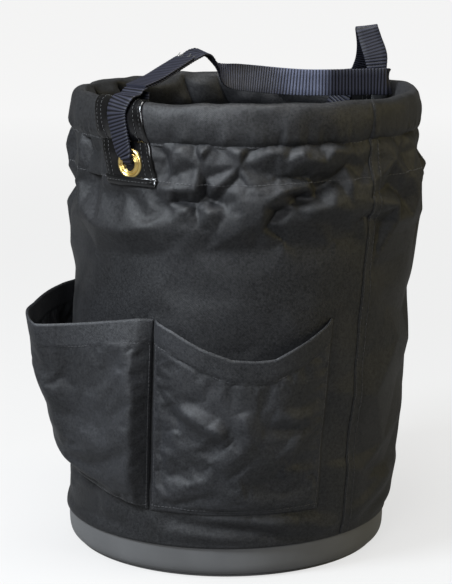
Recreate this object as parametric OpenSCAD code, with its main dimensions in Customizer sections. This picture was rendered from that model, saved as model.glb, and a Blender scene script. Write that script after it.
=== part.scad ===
// Round canvas tool bucket: a moulded base pan, a soft wall with two patch pockets,
// a hooped rim and a webbing handle that loops through two brass grommets.
// The ground is z = 0, the front pocket faces -Y, and azimuths run from -Y towards +X.

/* [Bucket] */
// Height of the rim crown above the ground
bucket_h = 430; // [410:5:450]
// Widest diameter of the base pan
pan_d = 305; // [295:1:315]
// Outer diameter of the rim sleeve
rim_d = 325; // [318:1:330]
// Sideways lean of the soft wall, measured at the rim towards +X
rim_lean = 19.5; // [0:0.5:22]
// How far the rim can be pushed down towards the base
rim_travel = 100; // [60:5:100]

/* [Canvas] */
// Thickness of the wall, pocket and rim canvas
canvas_t = 1.6; // [1.2:0.1:1.8]
// Gap between layers that are sewn together
layer_gap = 0.3; // [0.2:0.05:0.4]
// Height at which the canvas stops on the pan
canvas_foot_z = 32; // [28:1:36]
// Height of the lower wall sleeve, which the upper one slides into
sleeve_split_z = 245; // [242:1:248]
// Azimuth of the front seam, the other is opposite
seam_az = 43; // [40:1:50]
// Half width of a seam's lap, in degrees
seam_lap = 2.2; // [1.5:0.1:3]

/* [Pan] */
// Thickness of the pan's wall and floor
pan_t = 3.2; // [2.5:0.1:4]
// Radius of the pan's rounded lower edge
pan_edge_r = 8; // [5:0.5:10]
// Height of the recessed sole under the pan
sole_h = 3; // [2:0.5:4]
// Height of the pan's rim, hidden behind the canvas
pan_h = 58; // [45:1:65]
// Depth of the seat that the canvas is wrapped round
canvas_seat = 2.5; // [2:0.1:3]
// Thickness of the floor board
board_t = 4; // [3:0.5:6]

/* [Rim] */
// Radial width of the stuffed rim sleeve
sleeve_w = 15; // [14:0.5:16]
// Height of the rim sleeve
sleeve_h = 35; // [32:1:38]
// Height of the facing band's lower edge below the crown
facing_drop = 70; // [66:1:72]
// Height of the hoop strip
hoop_h = 22; // [18:1:23]
// Thickness of the hoop strip
hoop_t = 1.5; // [1:0.1:2]

/* [Pockets] */
// Azimuths of the front pocket's two sewn sides
front_az = [-26.5, 31]; // [-35:0.5:35]
// Height of the pockets' bottom stitching
pocket_foot_z = 62; // [58:1:70]
// Height of the pockets' mouth at the sewn sides
mouth_z = 238; // [230:1:240]
// Sag of the front mouth at its middle
front_sag = 31; // [10:1:40]
// Gape of the front mouth at its middle
front_gape = 14; // [10:0.5:20]
// Azimuth of the side pocket's rear edge
side_end_az = -105; // [-112:1:-100]
// Gape of the side pocket's front corner
side_gape = 51; // [40:1:55]

/* [Anchors] */
// Azimuth at which the handle crosses the rim, the other anchor is opposite
anchor_az = -43; // [-46:1:-40]
// Azimuth of the grommet's centre
grommet_az = -38; // [-41:1:-37]
// Height of the grommet's centre
grommet_z = 376; // [374:1:378]
// Outer diameter of the grommet's flange
grommet_d = 27; // [24:0.5:28]
// Diameter of the grommet's hole
grommet_hole_d = 13.6; // [13:0.1:14.5]
// Width of the anchor patch
patch_w = 61; // [54:1:64]
// Height of the patch's lower edge
patch_foot_z = 357; // [356:1:360]
// Slant of the patch from the vertical
patch_tilt = 19; // [10:1:20]

/* [Handle] */
// Width of the webbing
webbing_w = 25; // [22:1:26]
// Thickness of the webbing
webbing_t = 1.8; // [1.5:0.1:2]
// Height of the axis that the handle swings about
swing_z = 438; // [437:1:440]
// Radius at which the loops end and the swinging span begins
span_r = 141; // [138:1:141]

/* [Hidden] */
$fn = 96;

canvas_color = [0.13, 0.13, 0.14];
lining_color = [0.10, 0.10, 0.09];
plastic_color = [0.09, 0.09, 0.10];
hoop_color = [0.82, 0.80, 0.74];
board_color = [0.16, 0.15, 0.14];
vinyl_color = [0.03, 0.03, 0.03];
brass_color = [0.80, 0.62, 0.22];
webbing_color = [0.10, 0.10, 0.16];

pan_r = pan_d / 2;
sleeve_r = rim_d / 2;
nest_gap = 1;
seam_slit = 0.2;
lean_slope = rim_lean / (bucket_h - canvas_foot_z);
sleeve_foot_z = bucket_h - sleeve_h;
upper_top_z = sleeve_foot_z + 7;
upper_foot_z = sleeve_split_z - 9;
facing_foot_z = bucket_h - facing_drop;
crown_r = sleeve_w / 2;
crown_mid_r = sleeve_r - crown_r;
crown_z = bucket_h - crown_r;
sole_r = pan_r - 7;
pan_rebate_z = canvas_foot_z + 2;
board_z = sole_h + pan_t + layer_gap;

// Distance of a pocket sheet's middle from the wall's outer face
pocket_seat = layer_gap + canvas_t / 2 + 0.4;
pocket_steps = 14;
// Angle between the front pocket and the side pocket
divider_gap = 1.2;
// Height at which the front pocket's belly is fullest below the mouth, and its share of the gape
belly_z = 112;
belly_share = 0.62;

hoop_z = crown_z - hoop_h + 4;
hoop_slit = 1;
// Angle that the hoop's joining sleeve covers
joiner_span = 12;

vinyl_t = 1.6;
patch_mid_z = (patch_foot_z + bucket_h) / 2;
// Azimuth of the slanted patch's middle, set so that its centre line meets the grommet
patch_az = grommet_az - (patch_mid_z - grommet_z) * tan(patch_tilt) / sleeve_r * 180 / PI;

flange_t = 2.4;
barrel_t = 1.4;
barrel_d = grommet_hole_d + 2 * barrel_t;
washer_t = 1.2;

half_w = (webbing_w - webbing_t) / 2;
// Half width of the webbing where it is bunched in the grommet
bunched = 3.2;
// Radii of the webbing's middle outside and inside the rim
over_r = sleeve_r + layer_gap + vinyl_t + 1.8;
inner_r = sleeve_r - sleeve_w - layer_gap - vinyl_t - 2.3;
// Sideways distance from the rim crossing to the grommet
grommet_shift = (grommet_az - anchor_az) * PI / 180 * sleeve_r;
across = [cos(anchor_az), sin(anchor_az), 0];

// The two nested wall cones share one taper, so that the upper slides down inside the lower
upper_top_r = sleeve_r - canvas_t - layer_gap;
lower_foot_r = pan_r + layer_gap + canvas_t;
taper = (upper_top_r + nest_gap + canvas_t - lower_foot_r) / (upper_top_z - canvas_foot_z - rim_travel);
function lower_r(z) = lower_foot_r + taper * (z - canvas_foot_z);
function upper_r(z) = upper_top_r - taper * (upper_top_z - z);

// Radii at which the flange and the washer clear the curved layers between them
flange_seat_r = upper_r(grommet_z) + layer_gap + vinyl_t + 2.2;
washer_seat_r = upper_r(grommet_z) - 2 * canvas_t - 2 * layer_gap - 2.2;
flange_face_r = flange_seat_r + flange_t + 1.5;

// A point at an azimuth, a radius and a height
function spot(az, r, z) = [r * sin(az), -r * cos(az), z];
function mix(a, b, share) = a + (b - a) * share;

// Children drawn along +X stand at an azimuth
module at_az(az) rotate([0, 0, az - 90]) children();

// Everything sewn to the wall leans with it
module leaning() {
    multmatrix([[1, 0, lean_slope, -lean_slope * canvas_foot_z], [0, 1, 0, 0], [0, 0, 1, 0], [0, 0, 0, 1]])
        children();
}

// A conical band of canvas: outer radius r0 at height z0 and r1 at z1
module band(z0, r0, z1, r1, angle) {
    rotate_extrude(angle = angle)
        polygon([[r0 - canvas_t, z0], [r0, z0], [r1, z1], [r1 - canvas_t, z1]]);
}

// Half of the wall, with the lap of its seam on the outer (side 1) or inner (side -1) face
module wall_half(z0, r0, z1, r1, lap_z1, side) {
    lap_r1 = mix(r0, r1, (lap_z1 - z0) / (z1 - z0));
    step = side * (canvas_t + layer_gap);
    band(z0, r0, z1, r1, angle = 180 - seam_slit);
    rotate([0, 0, 180 - seam_slit - seam_lap])
        band(z0, r0 + step, lap_z1, lap_r1 + step, angle = 2 * seam_lap);
    rotate([0, 0, 180 - seam_slit - seam_lap])
        band(z0, r0 + step / 2, lap_z1, lap_r1 + step / 2, angle = seam_lap - seam_slit);
}

// A sheet through rows of points, as thick as the balls it is hulled from
module cloth(rows, thickness) {
    for (i = [0 : len(rows) - 2])
        for (j = [0 : len(rows[i]) - 2])
            hull()
                for (point = [rows[i][j], rows[i][j + 1], rows[i + 1][j], rows[i + 1][j + 1]])
                    translate(point) sphere(d = thickness, $fn = 8);
}

// A hole for a grommet's barrel, square to the wall
module grommet_hole(az, d) {
    at_az(az) translate([sleeve_r - 30, 0, grommet_z]) rotate([0, 90, 0]) cylinder(d = d, h = 60);
}

// ---- base ----

module base_pan() {
    arc_r = pan_r - pan_edge_r + 1;
    seat_r = pan_r - canvas_seat;
    color(plastic_color) {
        cylinder(r = sole_r, h = sole_h + 1);
        rotate_extrude() difference() {
            polygon([
                [0, sole_h],
                for (a = [0 : 15 : 75])
                    [arc_r + (pan_edge_r - 1) * sin(a), sole_h + pan_edge_r * (1 - cos(a))],
                [pan_r, sole_h + 2 * pan_edge_r],
                [pan_r, pan_rebate_z],
                [seat_r, pan_rebate_z + 1],
                [seat_r, pan_h],
                [0, pan_h]
            ]);
            translate([-1, sole_h + pan_t]) square([seat_r - pan_t + 1, pan_h]);
        }
    }
}

module floor_board() {
    color(board_color) translate([0, 0, board_z])
        cylinder(r = pan_r - canvas_seat - pan_t - 1, h = board_t);
}

module wall_lower(start_az) {
    color(canvas_color) leaning() at_az(start_az)
        wall_half(canvas_foot_z, lower_r(canvas_foot_z), sleeve_split_z, lower_r(sleeve_split_z),
            sleeve_split_z, 1);
}

module wall_lower_front() wall_lower(seam_az - 180);

module wall_lower_rear() wall_lower(seam_az);

module front_pocket() {
    color(canvas_color) leaning() cloth([
        for (i = [0 : pocket_steps])
            let (
                share = i / pocket_steps,
                az = mix(front_az[0], front_az[1], share),
                bulge = front_gape * sin(180 * share),
                lip_z = mouth_z - front_sag * sin(180 * share)
            ) [
                spot(az, lower_r(pocket_foot_z) + pocket_seat, pocket_foot_z),
                spot(az, lower_r(belly_z) + pocket_seat + belly_share * bulge, belly_z),
                spot(az, lower_r(lip_z) + pocket_seat + bulge, lip_z)
            ]
    ], canvas_t);
}

// The side pocket's shape from the shared divider (share 0) to its rear edge (share 1)
side_gape_share = [[0, 0], [0.22, 0.38], [0.39, 1], [0.49, 0.98], [0.67, 0.58], [0.84, 0.22], [1, 0]];
side_mouth_drop = [[0, 0], [0.22, 5], [0.39, 11], [0.49, 4], [0.67, 0], [1, 0]];
side_foot_rise = [[0, 0], [0.39, 8], [0.67, 12], [1, 15]];

module side_pocket() {
    start_az = front_az[0] - divider_gap;
    color(canvas_color) leaning() cloth([
        for (i = [0 : pocket_steps])
            let (
                share = i / pocket_steps,
                az = mix(start_az, side_end_az, share),
                gape = side_gape * lookup(share, side_gape_share),
                lip_z = mouth_z - lookup(share, side_mouth_drop),
                foot_z = pocket_foot_z + lookup(share, side_foot_rise),
                half_z = (lip_z + foot_z) / 2
            ) [
                spot(az, lower_r(foot_z) + pocket_seat, foot_z),
                spot(az, lower_r(half_z) + pocket_seat + gape / 2, half_z),
                spot(az, lower_r(lip_z) + pocket_seat + gape, lip_z)
            ]
    ], canvas_t);
}

// ---- rim ----

module wall_upper(start_az) {
    color(canvas_color) leaning() difference() {
        at_az(start_az)
            wall_half(upper_foot_z, upper_r(upper_foot_z), upper_top_z, upper_r(upper_top_z),
                facing_foot_z - 2, -1);
        grommet_hole(grommet_az, barrel_d + 1.2);
        grommet_hole(grommet_az + 180, barrel_d + 1.2);
    }
}

module wall_upper_front() wall_upper(seam_az - 180);

module wall_upper_rear() wall_upper(seam_az);

// Section of the strip that is folded over the hoop, grown outwards by g
module fold_section(g, outer_z, inner_z, foot_r) {
    polygon([
        [sleeve_r + g, outer_z],
        for (a = [0 : 15 : 180])
            [crown_mid_r + (crown_r + g) * cos(a), crown_z + (crown_r + g) * sin(a)],
        [crown_mid_r - crown_r - g + 1, inner_z],
        [foot_r - g, outer_z]
    ]);
}

module rim_sleeve(start_az) {
    pinch_z = sleeve_foot_z + 11;
    color(canvas_color) leaning() at_az(start_az) rotate_extrude(angle = 180 - seam_slit) difference() {
        fold_section(0, sleeve_foot_z, pinch_z, upper_top_r - 5);
        fold_section(-canvas_t, sleeve_foot_z - 1, pinch_z, upper_top_r - 5);
    }
}

module rim_sleeve_front() rim_sleeve(seam_az - 180);

module rim_sleeve_rear() rim_sleeve(seam_az);

module rim_facing() {
    top_z = sleeve_foot_z - 0.5;
    inset = canvas_t + layer_gap;
    color(lining_color) leaning() difference() {
        for (start_az = [seam_az - 180, seam_az])
            at_az(start_az) band(facing_foot_z, upper_r(facing_foot_z) - inset,
                top_z, upper_r(top_z) - inset, angle = 180 - seam_slit);
        grommet_hole(grommet_az, barrel_d + 1.2);
        grommet_hole(grommet_az + 180, barrel_d + 1.2);
    }
}

module rim_hoop() {
    color(hoop_color) leaning() at_az(180 + hoop_slit / 2)
        rotate_extrude(angle = 360 - hoop_slit)
            translate([crown_mid_r - hoop_t / 2, hoop_z]) square([hoop_t, hoop_h]);
}

module hoop_joiner() {
    wall = 0.8;
    room = 0.25;
    color(plastic_color) leaning() at_az(180 - joiner_span / 2)
        rotate_extrude(angle = joiner_span) difference() {
            translate([crown_mid_r - hoop_t / 2 - room - wall, hoop_z - room - wall])
                square([hoop_t + 2 * (room + wall), hoop_h + 2 * (room + wall)]);
            translate([crown_mid_r - hoop_t / 2 - room, hoop_z - room])
                square([hoop_t + 2 * room, hoop_h + 2 * room]);
        }
}

// ---- anchors ----

// Section of a patch: down the outside of the wall, over the crown and down inside
module patch_section() {
    near = layer_gap;
    far = layer_gap + vinyl_t;
    ledge_z = sleeve_foot_z - 1;
    tuck_z = crown_z - 12;
    polygon([
        for (side = [near, far])
            let (
                outside = [
                    [upper_r(patch_foot_z) + side, patch_foot_z],
                    [upper_r(ledge_z - 10) + side, ledge_z - 10],
                    [sleeve_r + side, ledge_z]
                ],
                over = [for (a = [0 : 15 : 180])
                    [crown_mid_r + (crown_r + side) * cos(a), crown_z + (crown_r + side) * sin(a)]],
                path = concat(outside, over, [[crown_mid_r - crown_r - side, tuck_z]])
            )
            for (i = [0 : len(path) - 1]) path[side == near ? i : len(path) - 1 - i]
    ]);
}

module anchor_patch(turn) {
    color(vinyl_color) leaning() rotate([0, 0, turn]) difference() {
        intersection() {
            rotate([0, 0, patch_az - 90 - 30]) rotate_extrude(angle = 60) patch_section();
            at_az(patch_az) translate([sleeve_r, 0, patch_mid_z]) rotate([patch_tilt, 0, 0])
                cube([80, patch_w * cos(patch_tilt), 2 * bucket_h], center = true);
        }
        grommet_hole(grommet_az, barrel_d + 1.2);
    }
}

module left_patch() anchor_patch(0);

module right_patch() anchor_patch(180);

// A grommet part drawn round Z, with +Z pointing out of the wall
module on_wall(turn, r) {
    translate([lean_slope * (grommet_z - canvas_foot_z), 0, 0])
        at_az(grommet_az + turn) translate([r, 0, grommet_z]) rotate([0, 90, 0]) children();
}

module grommet(turn) {
    hole_r = grommet_hole_d / 2;
    barrel_r = barrel_d / 2;
    flange_r = grommet_d / 2;
    lip_r = (flange_r + barrel_r) / 2;
    reach = flange_seat_r - washer_seat_r + washer_t + 1.2;
    color(brass_color) on_wall(turn, flange_seat_r) rotate_extrude() difference() {
        union() {
            translate([hole_r, -reach]) square([barrel_t, reach + 1]);
            translate([hole_r, -reach]) square([barrel_t + 1.4, 0.9]);
            translate([hole_r, 0]) square([flange_r - hole_r, flange_t * 0.5]);
            translate([flange_r - flange_t / 2, flange_t / 2]) circle(d = flange_t * 0.98, $fn = 24);
            translate([lip_r - 1, flange_t * 0.4]) circle(d = flange_t, $fn = 24);
        }
        translate([0, -reach - 1]) square([hole_r, reach + 2 * flange_t + 2]);
    }
}

module left_grommet() grommet(0);

module right_grommet() grommet(180);

module grommet_washer(turn) {
    color(brass_color) on_wall(turn, washer_seat_r - washer_t) difference() {
        cylinder(d = grommet_d - 1, h = washer_t);
        translate([0, 0, -1]) cylinder(d = barrel_d + 0.3, h = washer_t + 2);
    }
}

module left_washer() grommet_washer(0);

module right_washer() grommet_washer(180);

// ---- webbing ----

// The loop round the rim, seen along the rim's tangent: radius, height, sideways shift, half width
loop_path = [
    [inner_r + 0.6, swing_z - 1, 0, half_w],
    [crown_mid_r - 3, bucket_h + 4.8, 0, half_w],
    [crown_mid_r + 4, bucket_h + 3.6, 0, half_w],
    [over_r - 1.2, crown_z + 6, 0, half_w],
    [over_r, crown_z - 4, 0, half_w],
    [over_r + 0.8, sleeve_foot_z, grommet_shift * 0.6, half_w],
    [flange_face_r, grommet_z + 9, grommet_shift * 0.9, half_w * 0.6],
    [flange_face_r, grommet_z + 2, grommet_shift, bunched],
    [washer_seat_r - 4, grommet_z, grommet_shift, bunched],
    [inner_r + 2, grommet_z + 10, grommet_shift * 0.9, half_w * 0.6],
    [inner_r, sleeve_foot_z, grommet_shift * 0.6, half_w],
    [inner_r, crown_z, 0, half_w],
    [inner_r + 0.6, swing_z - 1, 0, half_w]
];

module strap_loop(turn) {
    color(webbing_color) leaning() rotate([0, 0, turn]) at_az(anchor_az)
        cloth([for (s = loop_path) [[s[0], s[2] - s[3], s[1]], [s[0], s[2] + s[3], s[1]]]], webbing_t);
}

module left_strap_loop() strap_loop(0);

module right_strap_loop() strap_loop(180);

// Stations of the draped span from the left anchor to the right one, each a place and the
// direction of the webbing's width there
span_ends = [for (turn = [0, 180]) [rim_lean, 0, 0] + spot(anchor_az + turn, span_r, swing_z + 1.5)];
span_path = [
    [span_ends[0], across],
    [[rim_lean - 72, -78, 451], across],
    [[rim_lean - 57, -61, 460], across],
    [[rim_lean - 43, -47, 466], across],
    [[rim_lean - 34, -37, 461], [0.7, -0.62, -0.35]],
    [[rim_lean - 27, -29, 450], [0.5, -0.5, -0.7]],
    [[rim_lean - 14, -16, 441], [0.3, -0.2, -0.93]],
    [[rim_lean + 5, 4, 436], [0, 0, -1]],
    [[rim_lean + 35, 29, 432], [0, 0, -1]],
    [[rim_lean + 122.5, 32, 431], [0, 0, -1]],
    [[rim_lean + 131.5, 34, 432], [-0.15, 0.1, -0.98]],
    [[rim_lean + 130.5, 39, 436], [-0.7, 0.2, -0.7]],
    [[rim_lean + 124.5, 42, 442], [-0.98, 0, -0.2]],
    [[rim_lean + 115.5, 51, 480.5], [-0.99, 0, -0.12]],
    [[rim_lean + 115, 56, 481.5], [-0.99, 0, -0.12]],
    [[rim_lean + 112, 80, 454], [-0.93, 0.35, 0]],
    [span_ends[1], -across]
];

module handle_strap() {
    color(webbing_color) cloth([
        for (s = span_path) [s[0] - half_w * s[1], s[0] + half_w * s[1]]
    ], webbing_t);
}

base_pan();
floor_board();
wall_lower_front();
wall_lower_rear();
front_pocket();
side_pocket();
wall_upper_front();
wall_upper_rear();
rim_sleeve_front();
rim_sleeve_rear();
rim_facing();
rim_hoop();
hoop_joiner();
left_patch();
right_patch();
left_grommet();
right_grommet();
left_washer();
right_washer();
left_strap_loop();
right_strap_loop();
handle_strap();
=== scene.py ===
import math

import bmesh
import bpy
import numpy as np
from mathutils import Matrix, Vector
from mathutils.geometry import delaunay_2d_cdt


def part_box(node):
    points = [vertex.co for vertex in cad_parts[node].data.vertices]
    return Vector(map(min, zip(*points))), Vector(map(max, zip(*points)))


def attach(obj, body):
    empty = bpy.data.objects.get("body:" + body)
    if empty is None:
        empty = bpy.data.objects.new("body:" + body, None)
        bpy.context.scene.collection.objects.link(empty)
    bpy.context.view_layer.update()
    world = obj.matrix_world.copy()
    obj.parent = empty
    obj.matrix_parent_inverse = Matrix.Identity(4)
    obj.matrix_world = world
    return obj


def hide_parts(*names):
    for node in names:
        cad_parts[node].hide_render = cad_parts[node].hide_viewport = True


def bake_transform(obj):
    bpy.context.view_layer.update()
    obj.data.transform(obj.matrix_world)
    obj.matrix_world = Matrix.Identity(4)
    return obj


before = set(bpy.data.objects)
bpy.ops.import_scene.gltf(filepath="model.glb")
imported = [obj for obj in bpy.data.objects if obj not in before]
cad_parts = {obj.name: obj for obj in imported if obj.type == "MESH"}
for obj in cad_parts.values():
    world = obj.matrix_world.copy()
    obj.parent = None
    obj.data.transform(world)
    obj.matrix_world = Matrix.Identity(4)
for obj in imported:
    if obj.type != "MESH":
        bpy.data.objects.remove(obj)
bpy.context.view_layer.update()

# ---------------------------------------------------------------- sizes, in mm
# Shapes are worked out in millimetres and written to meshes in metres.
MM = 0.001


def box_mm(*nodes):
    """Lowest and highest corner of some CAD nodes together, in mm."""
    boxes = [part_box(n) for n in nodes]
    low = np.min([np.array(b[0]) for b in boxes], axis=0)
    high = np.max([np.array(b[1]) for b in boxes], axis=0)
    return low / MM, high / MM


PAN_LOW, PAN_HIGH = box_mm("base_pan")
SLEEVE_LOW, SLEEVE_HIGH = box_mm("rim_sleeve_front", "rim_sleeve_rear")
FRONT_LOW, FRONT_HIGH = box_mm("front_pocket")
GROMMET_LOW, GROMMET_HIGH = box_mm("left_grommet")

PAN_R = (PAN_HIGH[0] - PAN_LOW[0]) / 2
RIM_R = (SLEEVE_HIGH[1] - SLEEVE_LOW[1]) / 2
CROWN_Z = SLEEVE_HIGH[2]
GROMMET_Z = (GROMMET_LOW[2] + GROMMET_HIGH[2]) / 2
# Lower edges of the rim's sleeve, the wall, the facing inside it and the anchor patches
SLEEVE_FOOT_Z = SLEEVE_LOW[2]
CANVAS_FOOT_Z = box_mm("wall_lower_front", "wall_lower_rear")[0][2]
FACING_FOOT_Z = box_mm("rim_facing")[0][2]
PATCH_FOOT_Z = box_mm("left_patch")[0][2]
# Thickness of the stuffed rim, and the middle of its crown
SLEEVE_W = 15.0
CROWN_MID_R = RIM_R - SLEEVE_W / 2
CROWN_MID_Z = CROWN_Z - SLEEVE_W / 2
# The soft wall leans towards +X, in proportion to height above the canvas's foot
LEAN = ((SLEEVE_LOW[0] + SLEEVE_HIGH[0]) / 2) / ((SLEEVE_FOOT_Z + CROWN_MID_Z) / 2 - CANVAS_FOOT_Z)
# Length of one degree round the rim
DEG_MM = math.radians(1) * RIM_R

# Azimuths in degrees from -Y towards +X. The rear seam and rear anchor are half a turn on.
SEAM_AZ = 43.0
ANCHOR_AZ = -43.0
FRONT_AZ = (-26.5, 31.0)
SIDE_AZ = (-27.6, -105.0)
# The pockets' foot and the front mouth's corners
POCKET_FOOT_Z = FRONT_LOW[2] + 0.8
MOUTH_Z = FRONT_HIGH[2] - 0.8
# The two stitch lines round the top of the wall
HEM_STITCH_Z = SLEEVE_FOOT_Z + 1.5
FACING_STITCH_Z = FACING_FOOT_Z + 2.0
# Pitch of the stitches in the canvas, the pockets, the patches and the webbing
CANVAS_PITCH, POCKET_PITCH, PATCH_PITCH, WEBBING_PITCH = 4.0, 3.6, 3.8, 3.4
# Webbing: width, thickness and the pitch of its ribs
WEB_W, WEB_T, RIB = 25.0, 1.7, 3.1


def lean(z):
    """How far the middle of the bucket has moved towards +X at a height."""
    return LEAN * (np.asarray(z, float) - CANVAS_FOOT_Z)


def spot(az, r, z):
    """Points at azimuths (degrees from -Y towards +X), radii and heights, leaning with the wall."""
    a = np.radians(az)
    x = r * np.sin(a) + lean(z)
    y = -r * np.cos(a)
    return np.stack(np.broadcast_arrays(x, y, z), axis=-1).astype(float)


def outward(az):
    """Level directions away from the middle."""
    a = np.radians(np.asarray(az, float))
    return np.stack([np.sin(a), -np.cos(a), 0 * a], axis=-1)


def off_by(az, centre):
    """Azimuths measured from a centre, from -180 to 180."""
    return (az - centre + 180) % 360 - 180


def smooth(x):
    """A soft step from 0 to 1 as x goes from 0 to 1."""
    x = np.clip(x, 0, 1)
    return x * x * (3 - 2 * x)


def noise2(u, v, cell_u, cell_v, seed, period_u=None):
    """Smooth value noise from -1 to 1, repeating every period_u along u if that is given."""
    size = 256
    table = np.random.RandomState(seed).uniform(-1, 1, (size, size))
    count = size if period_u is None else int(round(period_u / cell_u))
    fu = np.asarray(u, float) / cell_u if period_u is None else np.asarray(u, float) / period_u * count
    fv = np.asarray(v, float) / cell_v
    iu, iv = np.floor(fu).astype(int), np.floor(fv).astype(int)
    tu, tv = smooth(fu - iu), smooth(fv - iv)
    a, b = table[iu % count, iv % size], table[(iu + 1) % count, iv % size]
    c, d = table[iu % count, (iv + 1) % size], table[(iu + 1) % count, (iv + 1) % size]
    return (a * (1 - tu) + b * tu) * (1 - tv) + (c * (1 - tu) + d * tu) * tv


def ripple(az, z, cell_az, cell_z, seed):
    """Noise that closes up once round the bucket."""
    return noise2(az, z, cell_az, cell_z, seed, 360)


def gathers(az, cell, seed):
    """Ripples that are the same at every height."""
    return ripple(az, 0, cell, 1, seed)


def fold(az, z, a0, z0, a1, z1, width, height, soft=3.0):
    """A tent-shaped fold along a line on the wall, in mm outwards: linear flanks make it look creased.
    It fades out towards its ends."""
    x, x0, x1 = az * DEG_MM, a0 * DEG_MM, a1 * DEG_MM
    dx, dz = x1 - x0, z1 - z0
    t = ((x - x0) * dx + (z - z0) * dz) / (dx * dx + dz * dz)
    inside = np.clip(t, 0, 1)
    gap = np.hypot(x - x0 - inside * dx, z - z0 - inside * dz)
    tent = np.clip(1 - (np.sqrt(gap**2 + soft**2) - soft) / width, 0, 1)
    return height * tent * np.sin(np.pi * inside) ** 0.6


# ---------------------------------------------------------------- meshes

def put_in_scene(name, data):
    """An object of the scene that shows some data."""
    obj = bpy.data.objects.new(name, data)
    bpy.context.scene.collection.objects.link(obj)
    return obj


def quad_mesh(name, points, quads, uvs=None, sharp=math.radians(60)):
    """An object from points in mm and quads, shaded smooth except at sharp edges."""
    mesh = bpy.data.meshes.new(name)
    points = np.asarray(points, float).reshape(-1, 3) * MM
    quads = np.asarray(quads, np.int32).reshape(-1, 4)
    mesh.vertices.add(len(points))
    mesh.vertices.foreach_set("co", points.ravel())
    mesh.loops.add(quads.size)
    mesh.loops.foreach_set("vertex_index", quads.ravel())
    mesh.polygons.add(len(quads))
    mesh.polygons.foreach_set("loop_start", np.arange(0, quads.size, 4, dtype=np.int32))
    mesh.update(calc_edges=True)
    if uvs is not None:
        layer = mesh.uv_layers.new(name="UVMap")
        layer.data.foreach_set("uv", (np.asarray(uvs, float) * MM)[quads.ravel()].ravel())
    mesh.validate()
    mesh.polygons.foreach_set("use_smooth", np.ones(len(mesh.polygons), bool))
    if sharp:
        mesh.set_sharp_from_angle(angle=sharp)
    return put_in_scene(name, mesh)


def unit(v):
    """Vectors brought to length 1."""
    return v / np.maximum(np.linalg.norm(v, axis=-1, keepdims=True), 1e-9)


def grid_quads(ni, nj, wrap_i=False, wrap_j=False):
    """Corner numbers of the quads of an ni by nj grid of points."""
    i = np.arange(ni if wrap_i else ni - 1)[:, None]
    j = np.arange(nj if wrap_j else nj - 1)[None, :]
    i2, j2 = (i + 1) % ni, (j + 1) % nj
    return np.stack([i * nj + j, i2 * nj + j, i2 * nj + j2, i * nj + j2], -1).reshape(-1, 4)


def grid_normals(points, wrap=False):
    """Normals of a grid of points, which closes on itself along its first axis where wrap is set."""
    if wrap:
        du = np.roll(points, -1, 0) - np.roll(points, 1, 0)
    else:
        du = np.gradient(points, axis=0)
    return unit(np.cross(du, np.gradient(points, axis=1)))


def arc_lengths(points, axis=0):
    """Length from the first point on, along an axis of a row or grid of points."""
    step = np.linalg.norm(np.diff(points, axis=axis), axis=-1)
    pad = [(0, 0)] * step.ndim
    pad[axis] = (1, 0)
    return np.cumsum(np.pad(step, pad), axis=axis)


def sheet(name, points, thickness, wrap=False):
    """A closed sheet of cloth round a grid of middle points [u, v], with rolled edges.
    thickness is one number or a value per grid point."""
    ni, nj = points.shape[:2]
    normal = grid_normals(points, wrap)
    half = np.broadcast_to(np.asarray(thickness, float), (ni, nj))[..., None] / 2
    outer, inner = points + normal * half, points - normal * half
    face = grid_quads(ni, nj, wrap)
    back = face[:, ::-1] + ni * nj
    if wrap:
        loops = [[(k, 0) for k in range(ni)], [(k, nj - 1) for k in range(ni - 1, -1, -1)]]
    else:
        loops = [[(k, 0) for k in range(ni - 1)] + [(ni - 1, k) for k in range(nj - 1)]
                 + [(k, nj - 1) for k in range(ni - 1, 0, -1)] + [(0, k) for k in range(nj - 1, 0, -1)]]
    verts = [outer.reshape(-1, 3), inner.reshape(-1, 3)]
    quads = [face, back]
    u = arc_lengths(points).mean(axis=1)[:, None] + 0 * points[..., 0]
    v = arc_lengths(points, 1)
    uv = np.stack([u, v], -1).reshape(-1, 2)
    uvs = [uv, uv]
    count = 2 * ni * nj
    for loop in loops:
        a = np.array([k * nj + m for k, m in loop])
        away = []
        for k, m in loop:
            d = np.zeros(3)
            if not wrap and k == 0:
                d += unit(points[0, m] - points[1, m])
            if not wrap and k == ni - 1:
                d += unit(points[-1, m] - points[-2, m])
            if m == 0:
                d += unit(points[k, 0] - points[k, 1])
            if m == nj - 1:
                d += unit(points[k, -1] - points[k, -2])
            away.append(unit(d))
        flat_half = half.reshape(-1, 1)[a]
        mid = points.reshape(-1, 3)[a] + np.array(away) * flat_half * 0.8
        verts.append(mid)
        uvs.append(uv[a])
        m0 = count + np.arange(len(loop))
        count += len(loop)
        b, m1 = np.roll(a, -1), np.roll(m0, -1)
        quads.append(np.stack([b, a, m0, m1], -1))
        quads.append(np.stack([m1, m0, a + ni * nj, b + ni * nj], -1))
    return quad_mesh(name, np.concatenate(verts), np.concatenate(quads), np.concatenate(uvs))


def lathe(name, profile, centre=(0, 0, 0), axis=(0, 0, 1), turns=180, closed=False):
    """A turned solid from (radius, height) points. Points on the axis close it."""
    profile = np.asarray(profile, float)
    w = Vector(axis).normalized()
    u = w.orthogonal().normalized()
    v = w.cross(u)
    u, v, w = np.array(u), np.array(v), np.array(w)
    a = np.linspace(0, 2 * np.pi, turns, endpoint=False)
    r, h = profile[:, 0][None, :, None], profile[:, 1][None, :, None]
    ring = np.cos(a)[:, None, None] * u + np.sin(a)[:, None, None] * v
    points = np.array(centre, float) + ring * r + w * h
    quads = grid_quads(turns, len(profile), True, closed)
    uv = np.stack(np.broadcast_arrays((a * profile[:, 0].max())[:, None], arc_lengths(profile)[None, :]), -1)
    obj = quad_mesh(name, points, quads, uv.reshape(-1, 2), sharp=math.radians(40))
    if not closed:
        merge(obj)
    return obj


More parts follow.
